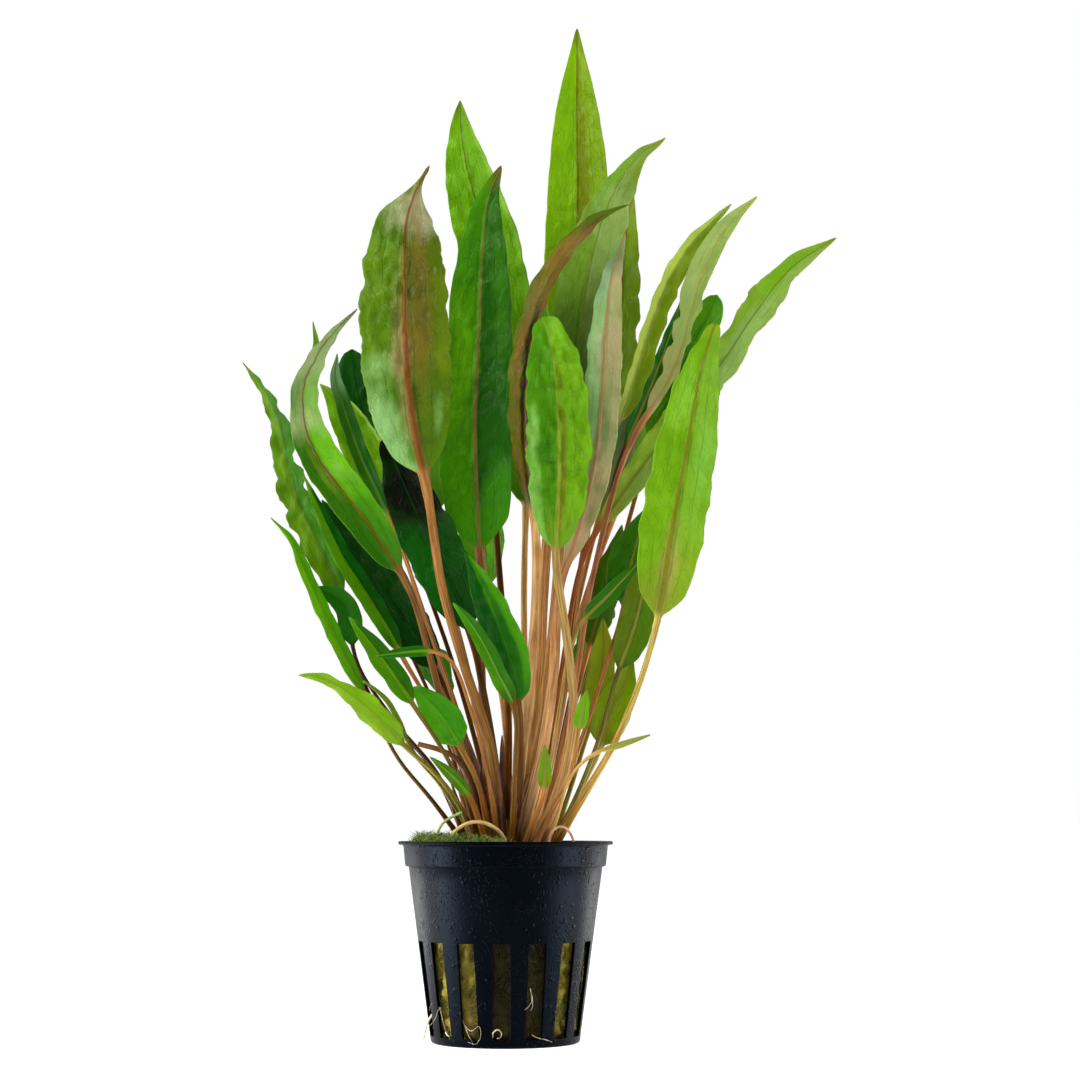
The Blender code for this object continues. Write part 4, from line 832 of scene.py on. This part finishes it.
def make_pot():
    """The pot's section carried round its axis. Grid lines follow the slots' sides, at the
    slot's angle plus and minus the arcsine of half its width over the radius, and the cells
    inside the slots and drains are left open with walls round them."""
    lip_low = POT_HEIGHT - LIP
    outer = [(radius, 0.0) for radius in (*FLOOR_RINGS, BASE_RADIUS - 0.6)]
    outer += [(BASE_RADIUS - 0.1, 0.25), (pot_radius(0.8), 0.8)]
    outer += wall_rows(0.25) + [
        (SHOULDER_RADIUS + 0.1, COLLAR_LOW), (COLLAR_RADIUS - 0.75, COLLAR_LOW + 0.05),
        (COLLAR_RADIUS - 0.5, COLLAR_LOW + 0.3), (COLLAR_RADIUS - 0.25, COLLAR_LOW + 2.8),
        (COLLAR_RADIUS, lip_low - 0.35), (COLLAR_RADIUS + 0.35, lip_low), (RIM_RADIUS - 0.2, lip_low),
        (RIM_RADIUS, lip_low + 0.2), (RIM_RADIUS, POT_HEIGHT - 0.2), (RIM_RADIUS - 0.2, POT_HEIGHT),
    ]
    shoulder, collar = SHOULDER_RADIUS - WALL, COLLAR_RADIUS - WALL
    inner = [(radius, FLOOR_THICKNESS) for radius in (*FLOOR_RINGS, BASE_RADIUS - 1.5)]
    inner += [(BASE_RADIUS - 1.1, FLOOR_THICKNESS + 0.1), (pot_radius(1.6) - WALL, 1.6)]
    inner += wall_rows(1.0, WALL) + [
        (shoulder, COLLAR_LOW - 0.6), (shoulder + 0.3, COLLAR_LOW + 0.4), (collar - 1.2, COLLAR_LOW + 1.0),
        (collar - 1.0, COLLAR_LOW + 3.0), (collar - 0.1, lip_low - 0.35), (collar, lip_low),
        (collar, lip_low + 0.3), (collar + 0.02, lip_low + 0.5), (collar + 0.1, POT_HEIGHT - 0.15),
        (collar + 0.3, POT_HEIGHT),
    ]
    sheets = np.array([outer, inner])
    rows = sheets.shape[1]
    in_slot, between = 6, 7
    columns = SLOTS * (in_slot + between)
    slot, step = np.divmod(np.arange(columns), in_slot + between)
    radius = np.clip(sheets[:, :, 0], pot_radius(SLOT_LOW) - 1.0, SHOULDER_RADIUS)[..., None]
    opening = np.arcsin(SLOT_HALF_WIDTH / radius)
    pitch = CIRCLE / SLOTS
    inside = -opening + 2.0 * opening * step / in_slot
    outside = opening + (pitch - 2.0 * opening) * (step - in_slot) / between
    angle = FIRST_SLOT + slot * pitch + np.where(step < in_slot, inside, outside)
    height = np.broadcast_to(sheets[:, :, 1:], angle.shape)
    points = np.stack([sheets[:, :, :1] * np.cos(angle), sheets[:, :, :1] * np.sin(angle), height], axis=-1)

    # Cells are (row, column). A slot opens the first columns of its pitch, in the slots' rows.
    open_cell = np.zeros((rows - 1, columns), bool)
    first = len(FLOOR_RINGS) + 3
    open_cell[first : first + SLOT_ROWS - 1] = step < in_slot
    drain_low, drain_high = 1, 5  # the floor rings on either side of the drains
    for drain in range(DRAINS):
        turn = CIRCLE * drain / DRAINS
        away = (angle[0, FLOOR_RINGS.index(DRAIN_CIRCLE)] - turn + math.pi) % CIRCLE - math.pi
        near = np.flatnonzero(np.abs(away) < math.asin(DRAIN_RADIUS / DRAIN_CIRCLE))
        order = near[np.argsort(away[near])]
        open_cell[drain_low:drain_high, order[:-1]] = True
        middle = DRAIN_CIRCLE * np.array((math.cos(turn), math.sin(turn)))
        border = [(drain_low, c) for c in order] + [(drain_high, c) for c in order]
        border += [(r, c) for r in range(drain_low, drain_high + 1) for c in (order[0], order[-1])]
        for row, column in border:
            flat = points[:, row, column, :2] - middle
            points[:, row, column, :2] = middle + unit(flat) * DRAIN_RADIUS
    index = np.arange(2 * rows * columns).reshape(2, rows, columns)
    right = np.roll(index, -1, axis=2)
    outward = np.stack([index[0, :-1], right[0, :-1], right[0, 1:], index[0, 1:]], axis=-1)
    inward = np.stack([index[1, :-1], index[1, 1:], right[1, 1:], right[1, :-1]], axis=-1)

    # Walls stand where an open cell meets a closed one.
    r, c = np.nonzero(open_cell[1:] != open_cell[:-1])
    lid = np.stack([index[0, r + 1, c], right[0, r + 1, c], right[1, r + 1, c], index[1, r + 1, c]], axis=1)
    lid = np.where(open_cell[r + 1, c][:, None], lid, lid[:, ::-1])
    r, c = np.nonzero(open_cell != np.roll(open_cell, 1, axis=1))
    jamb = np.stack([index[0, r, c], index[0, r + 1, c], index[1, r + 1, c], index[1, r, c]], axis=1)
    jamb = np.where(open_cell[r, c][:, None], jamb[:, ::-1], jamb)
    brim = np.stack([index[0, -1], right[0, -1], right[1, -1], index[1, -1]], axis=1)
    total = 2 * rows * columns
    under = np.stack([right[0, 0], index[0, 0], np.full(columns, total)], axis=1)
    over = np.stack([index[1, 0], right[1, 0], np.full(columns, total + 1)], axis=1)
    faces = [outward[~open_cell], inward[~open_cell], lid, jamb, brim, under, over]
    hubs = [(0.0, 0.0, 0.0), (0.0, 0.0, FLOOR_THICKNESS)]
    skin = (np.vstack([points.reshape(-1, 3), hubs]) * MM, faces)
    pot = add_piece("net_pot", skin, pot_paint(), "pot", "pot")
    pot.data.set_sharp_from_angle(angle=math.radians(38))
    rounding = pot.modifiers.new("rounded_edges", "BEVEL")
    rounding.width = 0.14 * MM
    rounding.segments = 2
    rounding.limit_method = "ANGLE"
    rounding.angle_limit = math.radians(50)
    rounding.harden_normals = False


# Wool, crown, moss and roots

def wool_paint():
    """Olive and ochre wool with fibres, painted shade in its hollows and green algae stains, browner low
    down and near the top, and darkened by painted shade in the middle."""
    p = Paint("mineral_wool")
    place = p.place()
    across, _, height = p.parts(place)
    broad = p.noise(place, 130.0, 4.0, 0.6)
    stain = p.noise(place, 55.0, 2.0)
    colour = p.mix(p.step(broad, 0.32, 0.66), tone(.24, .20, .05), tone(.42, .38, .12))
    colour = p.mix(p.step(stain, 0.52, 0.68) * 0.6, colour, tone(.19, .24, .05))
    # Painted shade: darker where the bump's hollows are.
    colour = p.mix(p.step(broad, 0.48, 0.32) * 0.85, colour, tone(.08, .07, .02))
    # Painted shade: a band across the middle of the plug in x, its edges moved by noise, made dark.
    middle_shade = p.step(across + (stain - 0.5) * (8.0 * MM), -10.0 * MM, -5.0 * MM)
    middle_shade = middle_shade * p.step(across, 14.0 * MM, 10.5 * MM)
    colour = p.mix(middle_shade * 0.93, colour, tone(.055, .050, .022))
    colour = p.mix(p.step(height, 12.0 * MM, 2.0 * MM) * (0.4 - middle_shade * 0.25), colour, tone(.34, .24, .12))
    colour = p.mix(p.step(height, 40.0 * MM, 47.0 * MM) * 0.7, colour, tone(.30, .24, .14))
    colour = p.mix(p.own("strand") * (1.0 - middle_shade * 0.7) * 0.6, colour, tone(.50, .48, .20))
    relief = p.bump(broad + p.noise(place, 1500.0, 2.0) * 0.6, 0.7, 0.4 * MM)
    return p.finish(colour, p.step(broad, 0.3, 0.7, 0.85, 0.97), relief, Specular_IOR_Level=0.15)


def revolve(profile, columns):
    """A profile from axis to axis carried round: (rows, columns, 3) in millimetres, its end
    points left to capped(). Each profile part is cut to steps of about a millimetre."""
    profile = np.array(profile, float)
    lengths = np.concatenate([[0.0], np.cumsum(np.linalg.norm(np.diff(profile, axis=0), axis=1))])
    wanted = np.linspace(0.0, lengths[-1], int(lengths[-1] / 0.9))[1:-1]
    wanted = np.unique(np.concatenate([wanted, lengths[1:-1]]))
    radius, height = (np.interp(wanted, lengths, profile[:, k])[:, None] for k in range(2))
    angle = CIRCLE * np.arange(columns) / columns
    x = radius * np.cos(angle)
    return np.stack([x, radius * np.sin(angle), np.broadcast_to(height, x.shape)], axis=-1)


def make_wool():
    """The plug's section carried round, its skin moved inwards by noise, with loose fibres: each
    a quadratic curve that starts on the skin and runs beside it."""
    inner = WALL + 0.35
    profile = [
        (0.0, WELL_FLOOR), (WELL_RADIUS, WELL_FLOOR), (WELL_RADIUS + 0.6, WOOL_TOP - 0.8), (18.0, WOOL_TOP),
        (COLLAR_RADIUS - 3.0, WOOL_TOP - 0.5), (COLLAR_RADIUS - 3.0, COLLAR_LOW - 0.6),
        (pot_radius(COLLAR_LOW - 2.0) - inner, COLLAR_LOW - 2.0), (pot_radius(3.2) - inner, 3.2),
        (pot_radius(FLOOR_THICKNESS) - inner - 1.2, FLOOR_THICKNESS + 0.3), (0.0, FLOOR_THICKNESS + 0.3),
    ]
    grid = revolve(profile, 200)
    out = unit(grid * (1.0, 1.0, 0.0))
    on_side = smooth(np.hypot(grid[..., 0], grid[..., 1]), 16.0, 17.5)
    dent = 0.75 + 0.45 * ripple(grid, 5.0, 3) + 0.30 * ripple(grid * (1.0, 1.0, 0.5), 1.7, 4)
    grid = grid - out * (np.clip(dent, 0.0, 2.4) * on_side)[..., None]
    grid[..., 2] -= np.clip(0.3 + 0.4 * ripple(grid, 2.6, 5), 0.0, 1.2) * smooth(grid[..., 2], 46.0, 47.5)
    plug = capped(grid * MM)

    count, rows = 3600, 6
    height = CHANCE.uniform(2.6, 27.0, (count, 1))
    angle = CHANCE.uniform(0.0, CIRCLE, (count, 1))
    t = np.linspace(0.0, 1.0, rows)[None]
    run = CHANCE.uniform(1.5, 6.0, (count, 1))
    heading = CHANCE.normal(math.pi / 2, 0.75, (count, 1))
    heading = heading + CHANCE.normal(0.0, 0.8, (count, 1)) * t
    z = np.clip(height + run * t * np.sin(heading), 2.2, 46.0)
    skin = pot_radius(z) - inner
    depth = CHANCE.uniform(0.0, 1.3, (count, 1))
    depth = depth + 0.35 * np.sin(math.pi * t) * CHANCE.normal(0.0, 0.8, (count, 1))
    radius = np.minimum(skin - depth, skin + 0.12)
    turn = angle + run * t * np.cos(heading) / radius
    paths = np.stack([radius * np.cos(turn), radius * np.sin(turn), z], axis=-1) * MM
    thickness = CHANCE.uniform(0.035, 0.085, (count, 1)) * (1.0 - 0.5 * t) * MM
    strand = [np.zeros(len(plug[0])), np.repeat(CHANCE.uniform(0.2, 1.0, count), rows * 3)]
    skin = joined(plug, strands(paths, thickness))
    add_piece("wool_plug", skin, wool_paint(), "rock_wool", "rock_wool", strand=np.concatenate(strand))


def crown_paint():
    p = Paint("rootstock")
    broad = p.noise(p.place(), 240.0, 4.0, 0.6)
    light = p.step(broad, 0.3, 0.7)
    stock = p.mix(light, tone(.22, .14, .07), tone(.50, .38, .20))
    sheath = p.mix(light, tone(.27, .15, .07), tone(.50, .31, .17))
    colour = p.mix(p.own("sheath"), stock, sheath)
    return p.finish(colour, p.step(broad, 0.3, 0.7, 0.6, 0.85), p.bump(broad, 0.7, 0.5 * MM))


def make_crown():
    """A lumpy stock: its section carried round, with its top raised and sunk by noise, and brown
    scales and old sheaths, which are strands that stand between the stalks, the sheaths taller
    in the middle and leaning out by their place."""
    profile = [
        (0.0, CROWN_TOP), (CROWN_RADIUS - 0.5, CROWN_TOP), (CROWN_RADIUS, CROWN_TOP - 1.0),
        (CROWN_RADIUS - 0.8, WELL_FLOOR + 0.3), (0.0, WELL_FLOOR + 0.3),
    ]
    grid = revolve(profile, 96)
    dip = np.clip(0.25 + 0.5 * ripple(grid, 2.4, 8), 0.0, 1.1)
    grid[..., 2] -= dip * smooth(grid[..., 2], CROWN_TOP - 2.0, CROWN_TOP)
    grid[..., :2] *= (1.0 - 0.02 * np.clip(ripple(grid, 3.0, 9), 0.0, 1.5))[..., None]
    grid[..., 0] += CROWN_X
    stock = capped(grid * MM)

    count, rows = 700, 4
    radius = CROWN_RADIUS * np.sqrt(CHANCE.uniform(0.0, 0.96, (count, 1)))
    turn = CHANCE.uniform(0.0, CIRCLE, (count, 1))
    t = np.linspace(0.0, 1.0, rows)[None]
    lean = CHANCE.normal(0.0, 0.8, (2, count, 1)) * t
    x, y = CROWN_X + radius * np.cos(turn) + lean[0], radius * np.sin(turn) + lean[1]
    path = np.stack([x, y, CROWN_TOP - 0.8 + CHANCE.uniform(1.2, 4.0, (count, 1)) * t], axis=-1)
    scales = strands(path * MM, CHANCE.uniform(0.06, 0.16, (count, 1)) * (1.0 - 0.8 * t) * MM, 4)

    chance = np.random.default_rng(77)
    count, rows = 80, 11
    x = chance.uniform(-7.0, 3.5, (count, 1))
    y = chance.uniform(-8.0, 6.0, (count, 1))
    tall = chance.uniform(9.0, 27.0, (count, 1)) * (1.0 - 0.6 * ((x + 2.0) / 7.0) ** 2)
    t = np.linspace(0.0, 1.0, rows)[None]
    lean = (x / 17.0 + chance.normal(0.0, 0.03, (count, 1))) * tall * t
    bow = chance.normal(0.0, 0.5, (2, count, 1)) * np.sin(math.pi * t)
    y = y * (1.0 + 0.03 * tall * t)
    path = np.stack([x + lean + bow[0], y + bow[1], CROWN_TOP - 1.0 + tall * t], axis=-1)
    thickness = chance.uniform(0.55, 1.2, (count, 1)) * np.sqrt(1.02 - t)
    x, y, half_width, tall = (np.array(values)[:, None] for values in zip(*OLD_SHEATHS))
    x = x * (1.0 + 0.0015 * tall**2 * t)
    old = len(OLD_SHEATHS)
    path[:old] = np.stack([x, np.broadcast_to(y, x.shape), CROWN_TOP - 1.0 + tall * t], axis=-1)
    thickness[:old] = half_width * np.sqrt(1.02 - t**3)
    sheaths = strands(path * MM, thickness * MM, 7)
    sheath = np.repeat((0.0, 0.0, 1.0), (len(stock[0]), len(scales[0]), len(sheaths[0])))
    add_piece("crown_stock", joined(stock, scales, sheaths), crown_paint(), "crown", "crown", sheath=sheath)


def moss_paint():
    """Greens from yellow to deep, one shade a shoot, paler at the tips and brown at the foot."""
    p = Paint("moss_shoots")
    shade, rise = p.own("shoot"), p.own("shoot_rise")
    broad = p.noise(p.place(), 260.0, 3.0)
    colour = p.mix(p.step(shade, 0.1, 0.9), tone(.18, .34, .05), tone(.56, .66, .24))
    colour = p.mix(p.step(shade, 0.84, 0.92), colour, tone(.66, .60, .36))
    colour = p.mix(p.step(rise, 0.5, 0.0) * 0.75, colour, tone(.09, .12, .03))
    colour = p.mix(p.step(broad, 0.5, 0.62) * 0.5, colour, tone(.34, .44, .12))
    return p.finish(colour, 0.72 + broad * 0.15, p.bump(broad, 0.4, 0.2 * MM))


def moss_height(x, y):
    """How high the mat stands over the wool, in millimetres: lumps of noise, less at its ends."""
    angle = np.arctan2(y, x) % CIRCLE
    radius = np.hypot(x, y)
    lumps = np.clip(1.35 + 0.55 * flat_ripple(x, y, 6.0, 12), 0.2, 2.3)
    lumps *= smooth(angle, MOSS_FROM - 0.1, MOSS_FROM + 0.5) * smooth(angle, MOSS_TO + 0.15, MOSS_TO - 0.5)
    lumps *= smooth(radius, MOSS_INNER - 0.6, MOSS_INNER + 2.0)
    return lumps * smooth(radius, MOSS_OUTER + 0.4, MOSS_OUTER - 0.8)


def make_moss():
    """A mat over its part of the wool, and thousands of shoots on it, each a strand whose height
    goes with the square root of its own length and whose tip leans."""
    angle = np.linspace(MOSS_FROM, MOSS_TO, 150)[:, None]
    radius = np.linspace(MOSS_INNER, MOSS_OUTER, 16)[None]
    x, y = radius * np.cos(angle), radius * np.sin(angle)
    top = np.stack([x, y, WOOL_TOP + 0.6 + moss_height(x, y)], axis=-1)
    under = np.stack([x, y, np.full(x.shape, WOOL_TOP + 0.1)], axis=-1)
    mat = capped(np.concatenate([top, under[:, ::-1]], axis=1) * MM)

    count, rows = 5200, 4
    turn = CHANCE.uniform(MOSS_FROM, MOSS_TO, (count, 1))
    stray = CHANCE.random((count, 1)) < 0.13
    turn = np.where(stray, CHANCE.uniform(MOSS_TO, MOSS_TO + 1.3, (count, 1)), turn)
    radius = np.sqrt(CHANCE.uniform(MOSS_INNER**2, (MOSS_OUTER + 0.3) ** 2, (count, 1)))
    x, y = radius * np.cos(turn), radius * np.sin(turn)
    base = WOOL_TOP + 0.3 + moss_height(x, y)
    grow = CHANCE.uniform(0.7, 2.0, (count, 1)) * np.where(stray, 0.7, 1.0)
    grow *= 1.0 + 0.55 * np.clip(flat_ripple(x, y, 3.2, 14), -0.6, 1.0)
    t = np.linspace(0.0, 1.0, rows)[None]
    lean = CHANCE.normal(0.0, 0.65, (2, count, 1)) * grow * t**1.6
    path = np.stack([x + lean[0], y + lean[1], base + grow * np.sqrt(t)], axis=-1)
    from_axis = np.linalg.norm(path[..., :2], axis=-1, keepdims=True)
    path[..., :2] *= np.minimum(1.0, (COLLAR_RADIUS - WALL - 0.3) / from_axis)
    thickness = CHANCE.uniform(0.07, 0.16, (count, 1)) * (1.15 - t) * MM
    shoots = strands(path * MM, thickness)
    shoot = np.concatenate([np.full(len(mat[0]), 0.3), np.repeat(CHANCE.random(count), rows * 3)])
    rise = np.concatenate([np.full(len(mat[0]), 0.2), np.tile(np.repeat(t[0], 3), count)])
    add_piece("moss_mat", joined(mat, shoots), moss_paint(), "moss", "moss", shoot=shoot, shoot_rise=rise)


def root_paint(name, light, dark):
    p = Paint(name)
    place = p.place()
    broad = p.noise(place, 350.0, 3.0)
    colour = p.mix(p.step(broad, 0.3, 0.7), tone(*light), tone(*dark))
    return p.finish(colour, 0.45 + broad * 0.15, p.bump(p.noise(place, 1600.0, 2.0), 0.3, 0.1 * MM))


def dress_root(node, name, light, dark):
    """The solid root itself, its copy merged and rounded by subdivision."""
    points, faces = merged(node)
    material = root_paint(name, light, dark)
    piece = add_piece(node + "_round", (points, [faces]), material, slot_of(node), node)
    rounded = piece.modifiers.new("rounded", "SUBSURF")
    rounded.levels = rounded.render_levels = 1


# The hair roots: thickness, then the places they run through in millimetres, each an x and a
# height on the pot's front wall and how far it is outside that wall
HAIRS = (
    (0.08, (-15.8, 9.5, -0.9), (-16.6, 8.8, 0.3), (-17.2, 7.0, 1.2), (-18.3, 5.4, 1.6), (-19.6, 4.0, 2.2),
     (-20.6, 1.6, 2.6)),
    (0.08, (-16.5, 10.0, -0.8), (-15.6, 7.6, 0.6), (-15.0, 5.4, 0.9), (-14.4, 3.6, 0.5), (-13.5, 2.0, 0.4)),
    (0.085, (-9.6, 5.4, -0.9), (-9.2, 5.0, 0.5), (-8.0, 4.4, 1.0), (-6.2, 5.6, 0.9), (-5.8, 3.2, 0.8),
     (-7.0, 1.2, 0.7), (-9.0, 1.6, 0.4)),
    (0.08, (-10.4, 7.0, -0.8), (-9.0, 3.6, 0.3), (-8.2, 2.2, 0.6), (-7.6, 1.0, 0.5)),
    (0.075, (6.4, 14.8, 0.3), (6.8, 12.0, 0.5), (6.0, 10.4, 0.8), (5.0, 9.6, 0.7)),
    (0.075, (6.9, 13.0, 0.3), (7.0, 10.6, 0.5), (6.6, 9.4, 0.5)),
    (0.085, (6.8, 3.4, 0.1), (8.4, 2.6, 0.5), (10.6, 2.0, 0.6), (11.8, 1.4, 0.5)),
    (0.08, (-17.8, 11.0, -0.8), (-18.6, 9.8, 0.7), (-18.9, 8.6, 1.0)),
    (0.20, (-2.9, 2.6, -0.8), (-2.7, 4.0, 0.0), (-1.6, 4.8, 0.2), (-0.7, 4.0, 0.2), (-0.9, 2.9, 0.1),
     (-1.8, 2.6, -0.2)),
    (0.28, (-14.6, 3.4, -0.9), (-14.2, 2.9, 0.1), (-13.7, 2.7, 0.4)),
)


def make_hair_roots():
    """White hair roots that come out of the slots near the base, each a curve with a thin tip."""
    rows = 26
    paths = []
    for _, *places in HAIRS:
        x, height, out = np.transpose(places)
        depth = np.sqrt(np.maximum((pot_radius(height) + out) ** 2 - x**2, 0.0))
        knots = np.arange(len(places), dtype=float)
        wanted = np.linspace(0.0, knots[-1], rows)
        paths.append(through(knots, np.stack([x, -depth, height], axis=1), wanted))
    radii = np.array([hair[0] for hair in HAIRS])[:, None] * np.linspace(1.0, 0.35, rows)
    material = root_paint("hair_root", (.68, .64, .52), (.52, .47, .34))
    add_piece("hair_roots", strands(np.array(paths) * MM, radii * MM, 6), material, "root_pale")


# The studio

def add_sky(scene):
    """White light from all round, less from the front and from above."""
    p = Paint("studio", bpy.data.worlds)
    scene.world = p.owner
    _, depth, height = p.parts(p.place("Generated"))
    strength = p.step(depth, -0.75, 0.0, 0.22, 1.0) * p.step(height, 0.45, 0.85, 1.0, 0.35)
    sky = p.node("ShaderNodeBackground", inputs={"Color": (1.0, 1.0, 1.0, 1.0), "Strength": strength})
    p.node("ShaderNodeOutputWorld", inputs={"Surface": sky})


def add_floor(scene):
    """A plain pale floor that reaches far beyond the picture."""
    p = Paint("studio_floor")
    grain = p.noise(p.place(), 40.0, 2.0)
    pale = p.mix(grain, (0.84, 0.84, 0.84, 1.0), (0.88, 0.88, 0.88, 1.0))
    white = p.finish(pale, 0.7 + grain * 0.1, Emission_Color=(1.0, 1.0, 1.0, 1.0), Emission_Strength=0.60)
    mesh = bpy.data.meshes.new("studio_floor")
    far = 40.0
    mesh.from_pydata([(-far, -far, 0), (far, -far, 0), (far, far, 0), (-far, far, 0)], [], [(0, 1, 2, 3)])
    mesh.materials.append(white)
    floor = bpy.data.objects.new("studio_floor", mesh)
    scene.collection.objects.link(floor)
    floor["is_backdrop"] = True


def main():
    scene = bpy.context.scene
    scene.view_settings.view_transform = "Standard"
    add_camera()
    add_sky(scene)
    target = (0.0, 0.0, 0.14)
    add_lamp("left_panel", (-0.95, -0.22, 0.40), target, (0.7, 1.1), 10.0)
    add_lamp("right_panel", (0.95, 0.10, 0.35), target, (0.6, 1.1), 7.0)
    add_lamp("high_front", (-0.35, -0.85, 1.05), target, (0.5, 0.4), 9.0)
    base = (0.0, 0.0, 0.017)
    add_lamp("low_left", (-0.17, -0.03, 0.017), base, (0.13, 0.032), 0.066, 50.0)
    add_lamp("low_right", (0.17, -0.04, 0.017), base, (0.11, 0.032), 0.040, 50.0)
    add_lamp("low_left_back", (-0.14, 0.10, 0.017), base, (0.13, 0.032), 0.014, 50.0)
    add_lamp("low_right_back", (0.14, 0.10, 0.017), base, (0.13, 0.032), 0.012, 50.0)
    add_floor(scene)

    for seed, (name, look) in enumerate(LOOKS.items(), 5):
        make_leaf("leaf_" + name, look, seed)
    make_pot()
    make_wool()
    make_crown()
    make_moss()
    dress_root("root_arch_tan", "root_tan", (.78, .66, .42), (.62, .50, .26))
    dress_root("root_arch_green", "root_green", (.42, .52, .20), (.56, .58, .30))
    dress_root("root_curl_right", "root_pink", (.80, .62, .52), (.66, .44, .34))
    dress_root("root_low_left", "root_white", (.88, .85, .74), (.74, .68, .52))
    make_hair_roots()


main()
